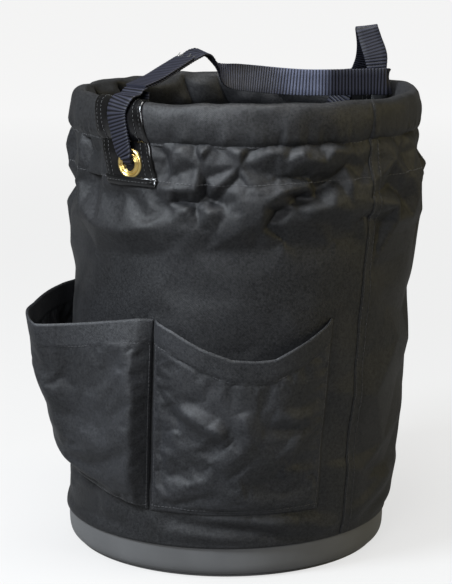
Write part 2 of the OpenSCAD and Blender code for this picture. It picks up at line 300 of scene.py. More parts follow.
def merge(obj):
    """Welds coincident points, such as those on a lathe's axis."""
    bm = bmesh.new()
    bm.from_mesh(obj.data)
    bmesh.ops.remove_doubles(bm, verts=bm.verts, dist=1e-6)
    bmesh.ops.recalc_face_normals(bm, faces=bm.faces)
    bm.to_mesh(obj.data)
    bm.free()


# One stitch: a short thread with pinched ends, along X and standing on Z
STITCH_RINGS = [(-0.5, 0.45), (-0.3, 1.0), (0.3, 1.0), (0.5, 0.45)]
STITCH_SIDES = [(1, 0), (0, 1), (-1, 0), (0, -1)]


def stitches(name, rows, length=2.9, radius=0.42, sunk=0.12):
    """Threads laid along rows, each a pair (points, normals) with one stitch between two points."""
    verts, quads, count = [], [], 0
    rings, sides = len(STITCH_RINGS), len(STITCH_SIDES)
    template = np.array([(x * length, y * r * radius, z * r * radius) for x, r in STITCH_RINGS
                         for y, z in STITCH_SIDES])
    ends = [[0, 1, 2, 3], [(rings - 1) * sides + m for m in range(sides)][::-1]]
    faces = np.concatenate([grid_quads(rings, sides, wrap_j=True), ends])
    for points, normals in rows:
        middle = (points[1:] + points[:-1]) / 2
        t = unit(points[1:] - points[:-1])
        n = unit(normals[1:] + normals[:-1])
        b = unit(np.cross(n, t))
        n = np.cross(t, b)
        placed = (middle - n * sunk)[:, None] + template[:, 0:1] * t[:, None] \
            + template[:, 1:2] * b[:, None] + template[:, 2:3] * n[:, None]
        verts.append(placed.reshape(-1, 3))
        per = len(template)
        quads.append((faces[None] + (count + per * np.arange(len(middle)))[:, None, None]).reshape(-1, 4))
        count += per * len(middle)
    return quad_mesh(name, np.concatenate(verts), np.concatenate(quads), sharp=None)


def even(points, normals, pitch):
    """A row resampled at an even pitch."""
    s = arc_lengths(points)
    k = np.arange(0, s[-1], pitch)
    points, normals = (np.stack([np.interp(k, s, a[:, c]) for c in range(3)], -1) for a in (points, normals))
    return points, unit(normals)


def catmull(values, samples):
    """A smooth curve through rows of values: samples points per span."""
    v = np.asarray(values, float)
    v = np.vstack([2 * v[0] - v[1], v, 2 * v[-1] - v[-2]])
    out = []
    for k in range(1, len(v) - 2):
        t = np.linspace(0, 1, samples, endpoint=False)[:, None]
        p0, p1, p2, p3 = v[k - 1], v[k], v[k + 1], v[k + 2]
        out.append(0.5 * (2 * p1 + (p2 - p0) * t + (2 * p0 - 5 * p1 + 4 * p2 - p3) * t**2
                          + (3 * p1 - p0 - 3 * p2 + p3) * t**3))
    out.append(v[-2][None])
    return np.concatenate(out)


# ---------------------------------------------------------------- cloth

def settle(points, pinned, frames, shrink, bend, wrap=False, gravity=0.0):
    """Runs a grid of canvas through a cloth simulation and returns where it comes to rest.
    A negative shrink makes the sheet roomier than its place, so that it buckles."""
    ni, nj = points.shape[:2]
    obj = quad_mesh("settling", points, grid_quads(ni, nj, wrap), sharp=None)
    group = obj.vertex_groups.new(name="pinned")
    group.add([int(k) for k in np.flatnonzero(pinned.ravel())], 1.0, "REPLACE")
    cloth = obj.modifiers.new("cloth", "CLOTH")
    settings = cloth.settings
    settings.vertex_group_mass = "pinned"
    settings.quality = 7
    settings.mass = 0.15
    settings.shrink_min = shrink
    settings.tension_stiffness = settings.compression_stiffness = 18
    settings.shear_stiffness = 10
    settings.bending_stiffness = bend
    settings.air_damping = 4
    settings.effector_weights.gravity = gravity
    cloth.collision_settings.use_collision = False
    cloth.collision_settings.use_self_collision = False
    cloth.point_cache.frame_start, cloth.point_cache.frame_end = 1, frames
    scene = bpy.context.scene
    home = scene.frame_current
    for number in range(1, frames + 1):
        scene.frame_set(number)
    settled = obj.evaluated_get(bpy.context.evaluated_depsgraph_get()).data
    out = np.empty(ni * nj * 3)
    settled.vertices.foreach_get("co", out)
    scene.frame_set(home)
    bpy.data.objects.remove(obj)
    return out.reshape(ni, nj, 3) / MM


def refine(grid, axis, wrap=False):
    """Doubles a grid's density along an axis, with a smooth curve through its points."""
    g = np.moveaxis(grid, axis, 0)
    if wrap:
        before, after, further = np.roll(g, 1, 0), np.roll(g, -1, 0), np.roll(g, -2, 0)
        here = g
    else:
        ends = np.concatenate([2 * g[:1] - g[1:2], g, 2 * g[-1:] - g[-2:-1]])
        before, here, after, further = ends[:-3], ends[1:-2], ends[2:-1], ends[3:]
    between = (9 * (here + after) - before - further) / 16
    out = np.empty((len(here) * 2, *g.shape[1:]))
    out[0::2], out[1::2] = here, between
    if not wrap:
        out = np.concatenate([out, g[-1:]])
    return np.moveaxis(out, 0, axis)


# ---------------------------------------------------------------- materials

class Nodes:
    """Short calls for building a node material."""

    def __init__(self, name):
        self.material = bpy.data.materials.new(name)
        self.material.use_nodes = True
        self.tree = self.material.node_tree
        self.shader = self.tree.nodes["Principled BSDF"]

    def add(self, kind, inputs=(), **settings):
        node = self.tree.nodes.new(kind)
        for key, value in settings.items():
            setattr(node, key, value)
        for key, value in dict(inputs).items():
            self.put(node.inputs[key], value)
        return node

    def put(self, socket, value):
        if isinstance(value, bpy.types.NodeSocket):
            self.tree.links.new(value, socket)
        else:
            socket.default_value = value

    def math(self, operation, *values):
        return self.add("ShaderNodeMath", dict(enumerate(values)), operation=operation).outputs[0]

    def spread(self, value, low, high, to_low=0.0, to_high=1.0):
        """A value carried over from one range to another, and held within it."""
        return self.add("ShaderNodeMapRange", {"Value": value, "From Min": low, "From Max": high,
                                               "To Min": to_low, "To Max": to_high}).outputs[0]

    def mix(self, share, first, second):
        """From one colour to another."""
        return self.add("ShaderNodeMix", {0: share, 6: first, 7: second}, data_type="RGBA").outputs[2]

    def uv(self):
        """The sheet's own coordinates, in metres, as separate sockets."""
        split = self.add("ShaderNodeSeparateXYZ", {0: self.add("ShaderNodeUVMap").outputs[0]})
        return split.outputs[0], split.outputs[1]

    def place(self):
        return self.add("ShaderNodeTexCoord").outputs["Object"]

    def noise(self, scale, detail=3.0, rough=0.5, vector=None):
        node = self.add("ShaderNodeTexNoise", {"Scale": scale, "Detail": detail, "Roughness": rough})
        self.put(node.inputs["Vector"], vector or self.place())
        return node.outputs["Fac"]

    def ramp(self, value, low, high, colour_low, colour_high):
        return self.mix(self.spread(value, low, high), (*colour_low, 1), (*colour_high, 1))

    def set(self, **values):
        for key, value in values.items():
            name = key.replace("_", " ").title().replace("Ior", "IOR")
            self.put(self.shader.inputs[name], (*value, 1) if isinstance(value, tuple) else value)

    def bump(self, *layers):
        """Stacks (height, strength, distance in m) bumps on the shader's normal."""
        normal = None
        for height, strength, distance in layers:
            node = self.add("ShaderNodeBump", {"Strength": strength, "Distance": distance, "Height": height})
            if normal is not None:
                self.put(node.inputs["Normal"], normal)
            normal = node.outputs["Normal"]
        self.put(self.shader.inputs["Normal"], normal)


def woven(name, dark, light, yarn=0.75, rough=0.55):
    """Plain weave of heavy yarn: pillows over and under along the sheet's own coordinates."""
    n = Nodes(name)
    u, v = n.uv()
    turn = math.pi / (yarn * MM)
    wave_u = n.math("SINE", n.math("MULTIPLY", u, turn))
    wave_v = n.math("SINE", n.math("MULTIPLY", v, turn))
    weave = n.math("MULTIPLY", wave_u, wave_v)
    height = n.math("MULTIPLY_ADD", weave, 0.5, 0.5)
    slub = n.noise(620, 3, 0.7)
    cloud = n.noise(22, 4, 0.6)
    # the weave's crowns are painted lighter and its hollows darker, as painted highlight and shade; slub and
    # cloud give the yarn's own random tone
    tone = n.math("ADD", n.math("MULTIPLY", height, 0.25),
                  n.math("ADD", n.math("MULTIPLY", slub, 0.55), n.math("MULTIPLY", cloud, 0.45)))
    n.set(base_color=n.ramp(tone, 0.45, 0.95, dark, light))
    n.set(roughness=n.spread(slub, 0.3, 0.7, rough - 0.10, rough + 0.12))
    mottle = n.noise(330, 2, 0.7)
    glint = n.spread(n.math("ADD", slub, mottle), 0.75, 1.25, 0.28, 0.56)
    n.set(specular_ior_level=glint, sheen_weight=0.02, sheen_roughness=0.45)
    n.bump((cloud, 0.25, 0.0015), (mottle, 0.12, 0.0006), (slub, 0.4, 0.0005), (height, 0.6, 0.00022))
    return n.material


def moulded(name, dark, light, rough, grain=1400):
    """Satin moulded plastic with a fine spark-eroded grain and faint flow marks."""
    n = Nodes(name)
    cloud = n.noise(14, 3, 0.55)
    speck = n.noise(grain, 2, 0.6)
    n.set(base_color=n.ramp(cloud, 0.35, 0.7, dark, light))
    n.set(roughness=n.spread(cloud, 0, 1, rough - 0.05, rough + 0.1))
    n.set(specular_ior_level=0.5)
    n.bump((speck, 0.35, 0.00012), (cloud, 0.1, 0.001))
    return n.material


def ribbed_webbing(name):
    """Black nylon webbing: yarns along the strap, with a faint blue sheen. The colour holds painted light: a
    pale blue painted highlight on the ribs of the stretch that runs level, and painted shade in the grooves
    between the ribs.
    """
    n = Nodes(name)
    fibre = n.noise(2600, 2, 0.6)
    cloud = n.noise(60, 3, 0.6)
    tone = n.math("ADD", n.math("MULTIPLY", fibre, 0.6), n.math("MULTIPLY", cloud, 0.4))
    rib = n.math("ABSOLUTE", n.math("SINE", n.math("MULTIPLY", n.uv()[1], math.pi / (RIB * MM))))
    # painted highlight colour for the rib tops of the level stretch
    pale = n.ramp(tone, 0.3, 0.75, (0.09, 0.10, 0.15), (0.22, 0.24, 0.34))
    # painted shade in the grooves between the ribs and a lighter painted highlight on the rib tops
    black = n.ramp(rib, 0.35, 1.0, (0.002, 0.002, 0.003), (0.026, 0.027, 0.040))
    x, y, z = n.add("ShaderNodeSeparateXYZ", {0: n.place()}).outputs
    # painted highlight: the rib tops of the stretch that runs level get the pale colour, for the light that
    # this stretch catches; the mask's ramps, from where to where along each axis
    share = rib
    for axis, start, end in ((z, 0.452, 0.442), (x, -0.012, 0.02), (x, 0.102, 0.088), (y, 0.05, 0.04)):
        share = n.math("MULTIPLY", share, n.spread(axis, start, end))
    n.set(base_color=n.mix(share, black, pale))
    n.set(roughness=0.46, specular_ior_level=0.22, sheen_weight=0.03, sheen_roughness=0.35)
    n.set(sheen_tint=(0.55, 0.6, 1.0))
    n.bump((fibre, 0.3, 0.0002))
    return n.material


def vinyl(name):
    """Glossy black vinyl with a faint leather grain."""
    n = Nodes(name)
    grain = n.add("ShaderNodeTexVoronoi", {"Scale": 900.0, "Vector": n.place()}).outputs["Distance"]
    cloud = n.noise(45, 4, 0.6)
    n.set(base_color=n.ramp(cloud, 0.35, 0.7, (0.002, 0.002, 0.0022), (0.006, 0.006, 0.0066)))
    n.set(roughness=n.spread(cloud, 0, 1, 0.12, 0.26))
    n.set(specular_ior_level=0.5, coat_weight=0.15, coat_roughness=0.1)
    n.bump((cloud, 0.35, 0.0012), (grain, 0.12, 0.0001))
    return n.material


def brass(name):
    """Rolled brass, slightly dulled."""
    n = Nodes(name)
    cloud = n.noise(160, 4, 0.6)
    scratch = n.noise(1800, 2, 0.7)
    n.set(base_color=n.ramp(cloud, 0.35, 0.75, (0.78, 0.57, 0.20), (0.90, 0.70, 0.30)))
    n.set(metallic=1.0)
    n.set(roughness=n.spread(cloud, 0, 1, 0.24, 0.34))
    n.bump((scratch, 0.04, 0.00005))
    return n.material


def thread(name, colour):
    """Twisted sewing thread."""
    n = Nodes(name)
    twist = n.noise(4000, 1, 0.5)
    n.set(base_color=n.ramp(twist, 0.3, 0.7, colour, tuple(c * 2.2 for c in colour)))
    n.set(roughness=0.5, sheen_weight=0.3)
    n.bump((twist, 0.4, 0.0001))
    return n.material


CANVAS = woven("canvas", (0.0022, 0.0023, 0.0027), (0.0215, 0.0220, 0.0252))
# painted light: the pockets get a paler copy of the canvas, so that they look brighter than the wall
POCKET_CANVAS_PAINTED_LIGHTER = woven("pocket_canvas_painted_lighter", (0.0034, 0.0036, 0.0042), (0.036, 0.0372, 0.0425))
WEBBING = ribbed_webbing("webbing")
PAN_PLASTIC = moulded("pan_plastic", (0.100, 0.100, 0.101), (0.130, 0.130, 0.131), 0.34)
BOARD_PLASTIC = moulded("board_plastic", (0.020, 0.019, 0.018), (0.032, 0.031, 0.029), 0.55, grain=700)
HOOP_PLASTIC = moulded("hoop_plastic", (0.62, 0.59, 0.52), (0.70, 0.68, 0.62), 0.35)
VINYL = vinyl("vinyl")
BRASS = brass("brass")
THREAD = thread("thread", (0.012, 0.012, 0.014))
# painted highlight: a slightly paler copy of the thread, for the glints of the patch and lap stitching
GLINT_THREAD = thread("edge_thread_painted_glint", (0.014, 0.014, 0.0145))


def finish_piece(obj, material, body=None, replaces=(), blend=None):
    """Paints a piece, hides the CAD parts it replaces, and hangs it on its body's empty; a piece given a
    blend only has its transform baked in.
    """
    obj.data.materials.clear()
    obj.data.materials.append(material)
    if replaces:
        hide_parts(*replaces)
    if blend:
        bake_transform(obj)
    else:
        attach(obj, body)
    return obj


# The wall's blend: the base at its foot and the rim at the second stitch line. finish_piece uses it only to
# bake the pieces' transforms.
WALL_BEND = ("base", "rim", spot(0, 0, CANVAS_FOOT_Z + 6) * MM, spot(0, 0, FACING_STITCH_Z - 4) * MM)


def finish_cloth(obj, material, *replaces):
    """Finishes a piece of the wall or of what is sewn to it."""
    return finish_piece(obj, material, replaces=replaces, blend=WALL_BEND)


# ---------------------------------------------------------------- wall

# Radius of the wall's middle surface before its folds, by height
WALL_HEIGHTS = np.array([-2, 8, 28, 90, 208, 298, 330, 352, 360, 366]) + CANVAS_FOOT_Z
WALL_RADII = PAN_R + np.array([1.5, 1.8, 1.2, 2.6, 7.6, 9.4, 9.8, 9.4, 7.8, 5.4])
WALL_LOW_Z, WALL_TOP_Z = CANVAS_FOOT_Z - 2, HEM_STITCH_Z + 1
# How far the slack wall swells or sinks about the middle of its two sides: heights and mm outwards
RIGHT_AZ, LEFT_AZ = 95, -88
RIGHT_HEIGHTS = [30, 46, 58, 107, 202, 284, 308, 330, 342, 365, 387, 396]
RIGHT_SWELL = [1.0, 2.6, 3.2, 5.0, 5.0, 5.6, 3.5, 6.2, 8.0, 3.0, 2.0, 0]
LEFT_HEIGHTS = [30, 46, 150, 225, 249, 261, 273, 284, 296, 307, 319, 330, 342, 353, 365, 376, 394]
LEFT_SWELL = [-1, -3.6, -2, -6, -7.6, -8.4, -7.8, -7.0, -7.4, -6.6, -5.4, -6.2, -7.0, -5.4, -4.0, -2.5, 0]

# Where the slack canvas peaks and dips: azimuth, height, mm outwards. Between these points it
# lies in flat facets, as stiff canvas does, and the facets meet in creases.
WALL_PEAKS = [
    # the ledge under the hem stitching and the block right of the anchor patch
    (-24, 391, 1), (-21, 392, 4), (-13, 392, 4), (-2, 391, 3.5), (9, 392, 3.5), (17, 391, 5),
    (27, 391, 4.5), (34, 388, 1), (41, 388, 0.5),
    (-25, 382, -2.5), (-22, 380, 3), (-14, 378, 1.5), (-2, 378, 1), (12, 383, 2.5), (18, 384, 5),
    (25, 381, 3.5), (33, 376, -1), (41, 374, -1),
    (-25, 366, -1), (-22, 368, 1), (-12, 367, 0), (-2, 367, 0), (11, 367, 0), (20, 366, -1),
    (29, 367, -3), (39, 363, -1),
    # bumps under the second stitch line and the dark folds below them
    (-22, 357, 4.5), (-15, 358, 5), (-9, 360, 4), (-6, 357, 1), (-3, 358, 3), (3, 357, 4), (12, 357, 4.5),
    (19, 360, 3.5), (23, 355, -4.5), (30, 361, -1.5), (34, 360, 3.5), (38, 357, 2.5), (43, 358, 3),
    (-20, 347, -1.5), (-15, 344, -1), (-12, 350, -2.5), (-9, 346, -2.5), (-6, 343, 0.5), (-1, 349, 4),
    (6, 346, 5), (13, 345, 1.5), (17, 348, -4.5), (22, 348, -1), (28, 349, 3.5), (33, 348, 3), (40, 343, 2),
    (-23, 342, 2), (-17, 338, 3.5), (-10, 337, 4.5), (-5, 337, 2), (0, 337, 4), (6, 336, 4.5),
    (11, 337, -3.5), (16, 341, 1.5), (21, 340, 4.5), (27, 341, 5), (34, 334, 2.5), (40, 328, 1),
    (-21, 328, 1.5), (-13, 325, 0.5), (-8, 321, 0), (-1, 322, 3.5), (2, 326, 3.5), (6, 320, 1),
    (8, 325, -1.5), (13, 329, 2), (20, 330, 3), (28, 326, 1), (36, 317, 0.5),
    # the broad facet under the patch, and the folds left of it
    (-53, 348, -1.5), (-38, 354, -1), (-31, 357, 0), (-52, 316, 4), (-40, 315, 5), (-30, 321, 4.5),
    (-26, 328, 3), (-64, 390, -3), (-60, 372, -5), (-60, 352, -4), (-67, 372, 2), (-70, 350, 3),
    (-76, 384, -2), (-66, 330, 3), (-80, 356, -2),
    # the taut band below
    (-57, 291, 0), (-37, 293, 0), (-23, 301, 0), (-10, 304, 0), (3, 303, 0), (15, 307, 0), (29, 305, 0),
    (43, 300, 0),
]
# Long low folds where the slack canvas sags over the pan: azimuth and height of both ends,
# half width, height (minus is a valley)
PAN_FOLDS = [
    (-24, 56, 34, 35, 8, -3.2), (-18, 60, 24, 48, 9, 3.4), (-20, 46, 14, 38, 7, 2.6), (8, 56, 40, 42, 8, 3.0),
    (-6, 50, 16, 46, 4, -1.5), (18, 41, 42, 36, 5, 2.0), (44, 44, 72, 74, 8, 3.0), (52, 38, 84, 60, 9, -3.0),
    (-96, 60, -40, 48, 8, 2.2), (-80, 48, -34, 40, 6, -2.0), (116, 58, 170, 44, 8, -2.8),
    (160, 46, 220, 60, 9, 2.8), (210, 44, 252, 56, 8, -2.4),
]
# Elsewhere the peaks are strewn evenly: first and last azimuth, first and last height, spacing, size
STREWN = [(-56, 44, 92, 285, 46, 0.7), (50, 280, 308, 390, 21, 3.6), (50, 280, 92, 300, 42, 1.7),
          (48, 330, 66, 92, 26, 1.5)]
# The peaks' sizes are multiplied by this, because the cloth simulation softens them
RELIEF = 1.85


def wall_peaks():
    """All the wall's peaks as (mm round the wall, height, mm outwards), over nearly two turns, so that
    the facets close up. The last ones hold the wall's two edges."""
    rng = np.random.RandomState(7)
    peaks = [(az * DEG_MM, z, size) for az, z, size in WALL_PEAKS]
    for az0, az1, z0, z1, pitch, size in STREWN:
        rows = max(2, int(round((z1 - z0) / pitch)))
        columns = max(2, int(round((az1 - az0) * DEG_MM / pitch)))
        for i in range(columns):
            for j in range(rows):
                u = az0 * DEG_MM + (i + 0.5 * (j % 2) + rng.uniform(-0.3, 0.3)) * pitch
                v = z0 + (j + 0.5 + rng.uniform(-0.3, 0.3)) * (z1 - z0) / rows
                peaks.append((u, v, size * rng.choice([-1, 1]) * rng.uniform(0.4, 1.1)))
    turn = 360 * DEG_MM
    near = [(u + k * turn, v, size) for u, v, size in peaks for k in (-1, 0, 1)]
    edges = [(u, v, 0.0) for u in np.arange(-0.75 * turn, 1.1 * turn, 18) for v in (WALL_LOW_Z, WALL_TOP_Z)]
    return np.array([p for p in near if -0.72 * turn < p[0] < 1.05 * turn] + edges)


def facets(az, z):
    """Outward shift of the wall from flat facets between its peaks, in mm."""
    peaks = wall_peaks()
    flat = [Vector((u, v)) for u, v, _ in peaks]
    corners, _, triangles, origin, _, _ = delaunay_2d_cdt(flat, [], [], 0, 1e-4)
    height = np.array([peaks[o[0], 2] if len(o) else 0.0 for o in origin])
    corners = np.array([c[:] for c in corners])
    x, y = np.broadcast_arrays(az * DEG_MM, z)
    shift = np.zeros(x.shape)
    for a, b, c in triangles:
        (ax, ay), (bx, by), (cx, cy) = corners[a], corners[b], corners[c]
        area = (by - cy) * (ax - cx) + (cx - bx) * (ay - cy)
        if abs(area) < 1e-6:
            continue
        i, j = np.nonzero((x >= min(ax, bx, cx)) & (x <= max(ax, bx, cx))
                          & (y >= min(ay, by, cy)) & (y <= max(ay, by, cy)))
        p = ((by - cy) * (x[i, j] - cx) + (cx - bx) * (y[i, j] - cy)) / area
        q = ((cy - ay) * (x[i, j] - cx) + (ax - cx) * (y[i, j] - cy)) / area
        hit = (p >= -1e-6) & (q >= -1e-6) & (p + q <= 1 + 1e-6)
        value = p * height[a] + q * height[b] + (1 - p - q) * height[c]
        shift[i[hit], j[hit]] = value[hit]
    return shift


def wall_shift(az, z):
    """How far the facets, folds, swells and puckers move the wall outwards, in mm."""
    shift = RELIEF * facets(az, z)
    for a0, z0, a1, z1, width, height in PAN_FOLDS:
        for turn in (-360, 0):
            shift = shift + fold(az, z, a0 + turn, z0, a1 + turn, z1, width, height)
    for middle, heights, swell in ((RIGHT_AZ, RIGHT_HEIGHTS, RIGHT_SWELL),
                                   (LEFT_AZ, LEFT_HEIGHTS, LEFT_SWELL)):
        side = np.cos(np.radians(az - middle)).clip(0) ** 1.5
        shift = shift + side * np.interp(z, heights, swell)
    shift = shift + ripple(az, z, 24, 62, 3) + 0.5 * ripple(az, z, 9, 26, 5)
    pucker = gathers(az, 4.2, 11) + 0.6 * gathers(az, 2.1, 12)
    for line, reach in ((HEM_STITCH_Z, 11.0), (FACING_STITCH_Z, 8.0)):
        shift = shift + 0.8 * pucker * np.exp(-np.abs(z - line + 5) / reach)
    return shift


def sewn_share(az, z):
    """0 where stitching or something hard holds the wall to its plain shape, 1 where it is free."""
    free = smooth((z - CANVAS_FOOT_Z) / 12) * smooth((HEM_STITCH_Z + 2 - z) / 6)
    held = 0 * z
    for anchor in (ANCHOR_AZ, ANCHOR_AZ + 180):
        off = off_by(az, anchor + 2)
        held = held + smooth((14.5 - np.abs(off)) / 5) * smooth((z - 346) / 10) * 0.97
    pocket_z = smooth((z - POCKET_FOOT_Z + 8) / 8) * smooth((MOUTH_Z + 8 - z) / 8)
    for edge in (FRONT_AZ[0], FRONT_AZ[1], SIDE_AZ[1]):
        held = np.maximum(held, np.exp(-(((az - edge) / 2.5) ** 2)) * pocket_z * 0.9)
    foot = np.exp(-(((z - POCKET_FOOT_Z - 2) / 6) ** 2)) * smooth((az - SIDE_AZ[1]) / 5)
    foot = foot * smooth((FRONT_AZ[1] + 5 - az) / 5)
    for seam in (SEAM_AZ, SEAM_AZ - 180):
        held = np.maximum(held, 0.5 * np.exp(-(((az - seam - 1.6) / 3) ** 2)))
    return free * (1 - np.maximum(held, 0.9 * foot))


def make_wall(columns, rows):
    """The whole wall's middle surface, as a grid over azimuth and height. Its columns go once round
    from the rear seam, so the front seam is the middle column."""
    az = (SEAM_AZ - 180 + 360 * np.arange(columns) / columns)[:, None]
    z = np.linspace(WALL_LOW_Z, WALL_TOP_Z, rows)[None, :]
    plain = spot(az, np.interp(z, WALL_HEIGHTS, WALL_RADII), z)
    free = sewn_share(az, z)
    folded = plain + outward(az) * (wall_shift(az, z) * (0.25 + 0.75 * free) * smooth((z - WALL_LOW_Z) / 8)
                                    * smooth((WALL_TOP_Z - z) / 5))[..., None]
    pinned = (free < 0.12) | (np.abs(z - FACING_STITCH_Z) < 2)
    slack = settle(folded, pinned, 24, -0.012, bend=9.0, wrap=True)
    # below the folds under the rim the wall is taut, and keeps little of the buckling
    kept = smooth((z - 285) / 45) * 0.7 + 0.3
    grid = folded + (slack - folded) * kept[..., None]
    # the canvas lies on the pan's upstand and can't sink into it
    radial = outward(az)
    radius = np.sum((grid - spot(0, 0, z)) * radial * [1, 1, 0], axis=-1)
    short = (PAN_R - 0.9 - radius).clip(0) * (z < PAN_HIGH[2] + 5)
    return refine(refine(grid + radial * short[..., None], 0, wrap=True), 1)


class Surface:
    """The wall's grid, to be asked for places and normals by azimuth and height."""

    def __init__(self, grid):
        self.grid = grid
        self.normals = grid_normals(grid, wrap=True)

    def sample(self, values, az, z):
        ni, nj = values.shape[:2]
        fi = ((np.asarray(az, float) - SEAM_AZ + 180) % 360) / 360 * ni
        fj = np.clip((np.asarray(z, float) - WALL_LOW_Z) / (WALL_TOP_Z - WALL_LOW_Z), 0, 1) * (nj - 1)
        fi, fj = np.broadcast_arrays(fi, fj)
        i, j = np.floor(fi).astype(int), np.minimum(np.floor(fj).astype(int), nj - 2)
        ti, tj = (fi - i)[..., None], (fj - j)[..., None]
        i, i2 = i % ni, (i + 1) % ni
        low = values[i, j] * (1 - ti) + values[i2, j] * ti
        high = values[i, j + 1] * (1 - ti) + values[i2, j + 1] * ti
        return low * (1 - tj) + high * tj

    def at(self, az, z, lift=0.0):
        return self.sample(self.grid, az, z) + self.normal(az, z) * lift

    def normal(self, az, z):
        return unit(self.sample(self.normals, az, z))


WALL = Surface(make_wall(288, 100))


def build_wall():
    """Two panels, the lapped seams between them, and the stitching."""
    half = len(WALL.grid) // 2
    around = np.concatenate([WALL.grid, WALL.grid[:1]])
    for name, part in (("front", around[:half + 1]), ("rear", around[half:])):
        panel = sheet(f"canvas_wall_{name}", part, 1.6)
        finish_cloth(panel, CANVAS, f"wall_lower_{name}", f"wall_upper_{name}")
    z = np.linspace(CANVAS_FOOT_Z - 1, HEM_STITCH_Z, 160)
    rows = []
    for seam, name in ((SEAM_AZ, "seam_lap_front"), (SEAM_AZ - 180, "seam_lap_rear")):
        az = seam + np.linspace(-0.4, 3.6, 9)[:, None]
        finish_cloth(sheet(name, WALL.at(az, z[None], 1.2), 1.2), CANVAS)
        for side in (0.2, 3.0):
            rows.append(even(WALL.at(seam + side, z, 2.0), WALL.normal(seam + side, z), CANVAS_PITCH))
    az = np.linspace(-180, 180, 900)
    line = FACING_STITCH_Z + 0.4 * gathers(az, 20, 21)
    rows.append(even(WALL.at(az, line, 1.0), WALL.normal(az, line), CANVAS_PITCH))
    finish_cloth(stitches("wall_stitching", rows), THREAD)


# ---------------------------------------------------------------- rim

# Section of the folded, stuffed rim: steps in from the outer face and down from the crown.
# It runs from the hem stitching up over the crown and down inside to the facing's lower edge.
HEM_SECTION = catmull([
    (3.2, 36.5), (3.0, 34.0), (0.2, 28.5), (-0.8, 18.0), (0.2, 8.5), (3.0, 2.2), (7.6, 0.0),
    (12.2, 2.2), (14.8, 8.5), (15.2, 16.0), (13.4, 26.0), (9.0, 35.0), (6.4, 45.0), (5.6, 56.0),
    (5.2, 68.5)], 5)
# The points of the section where its two stitch lines run
HEM_STITCHES = (4, len(HEM_SECTION) - 3)


def hem_grid(columns):
    """The rim's middle surface over azimuth and section: pillowy outside, fat loose lobes inside."""
    az = np.linspace(0, 360, columns, endpoint=False)[:, None]
    step_in, drop = HEM_SECTION[:, 0][None, :], HEM_SECTION[:, 1][None, :]
    share = np.arange(len(HEM_SECTION))[None, :] / (len(HEM_SECTION) - 1)
    inside = smooth((share - 0.42) / 0.12)
    loose = 1.0
    for anchor in (ANCHOR_AZ, ANCHOR_AZ + 180):
        loose = loose * (1 - 0.8 * np.exp(-((off_by(az, anchor) / 13) ** 2)))
    swell = 1.7 * ripple(az, drop, 17, 34, 31) + 1.1 * ripple(az, drop, 6.5, 15, 32)
    pucker = gathers(az, 3.2, 33) + 0.7 * gathers(az, 1.7, 38)
    pucker = pucker * np.exp(-np.abs(drop - 29) / 7) * 1.6 * (1 - inside)
    wander = az / 21 + 0.35 * ripple(az, drop, 30, 60, 34) + drop / 95
    lobes = np.abs(np.sin(np.pi * wander)) ** 0.55 - 0.75
    lobes = lobes * (9.5 + 4 * gathers(az, 40, 39)) + 1.6 * ripple(az, drop, 6, 14, 35)
    slack = inside * smooth((66 - drop) / 22) * smooth((drop - 1) / 10)
    outwards = (swell + pucker) * (1 - inside) * loose - slack * (2.0 + lobes) * loose
    # each seam is a narrow groove with the raised lap beside it
    groove = np.zeros_like(az)
    for seam in (SEAM_AZ, SEAM_AZ - 180):
        off = off_by(az, seam)
        groove = groove + np.exp(-((off / 0.35) ** 2)) * 0.9
        groove = groove - 0.5 * smooth((off + 0.2) / 0.5) * smooth((4 - off) / 0.5)
    crown = np.exp(-((drop / 9) ** 2)) * loose * (1.5 * gathers(az, 13, 36) + 0.6 * gathers(az, 5, 37))
    r = RIM_R - step_in + outwards - groove * (1 - inside)
    return spot(az + 0 * drop, r, CROWN_Z - drop + crown - 0.8)


HEM = hem_grid(720)
HEM_NORMALS = grid_normals(HEM, wrap=True)


def on_hem(az, index, lift=0.0):
    """Places on the rim by azimuth and section index."""
    f = (np.asarray(az, float) % 360) / 360 * len(HEM)
    i = np.floor(f).astype(int)
    t = (f - i)[..., None]
    i, i2 = i % len(HEM), (i + 1) % len(HEM)
    place = HEM[i, index] * (1 - t) + HEM[i2, index] * t
    normal = unit(HEM_NORMALS[i, index] * (1 - t) + HEM_NORMALS[i2, index] * t)
    return place + normal * lift


def build_rim():
    """The rim's stuffed hem and its two stitch lines."""
    hem = sheet("rim_hem", HEM, 2.0, wrap=True)
    finish_piece(hem, CANVAS, body="rim",
                 replaces=("rim_sleeve_front", "rim_sleeve_rear", "rim_facing"))
    rows = []
    around = np.append(np.arange(len(HEM)), 0)
    for index in HEM_STITCHES:
        normals = HEM_NORMALS[around, index]
        rows.append(even(HEM[around, index] + normals * 1.05, normals, CANVAS_PITCH))
    finish_piece(stitches("hem_stitching", rows), THREAD, body="rim")


# ---------------------------------------------------------------- pockets

def pocket_place(az, z, out):
    """Places that stand a distance out of the wall. Near it they follow its folds."""
    near = WALL.at(az, z) + outward(az) * out[..., None]
    plain = spot(az, np.interp(z, WALL_HEIGHTS, WALL_RADII) + out, z)
    share = smooth(out / 8)[..., None]
    return near * (1 - share) + plain * share


def front_lip_z(share):
    """The front mouth sags, with a flat middle, and rises steeply to both sewn sides."""
    sag = np.interp(share, [0, 0.12, 0.28, 0.44, 0.56, 0.66, 0.82, 0.94, 1],
                    [0, 7, 20, 29.5, 31, 30, 17, 6, 0])
    return MOUTH_Z - sag


# Turned hem along a pocket's mouth: its depth and thickness, and the thickness of the sheet
MOUTH_HEM, MOUTH_HEM_T, POCKET_T = 20.0, 2.9, 1.5
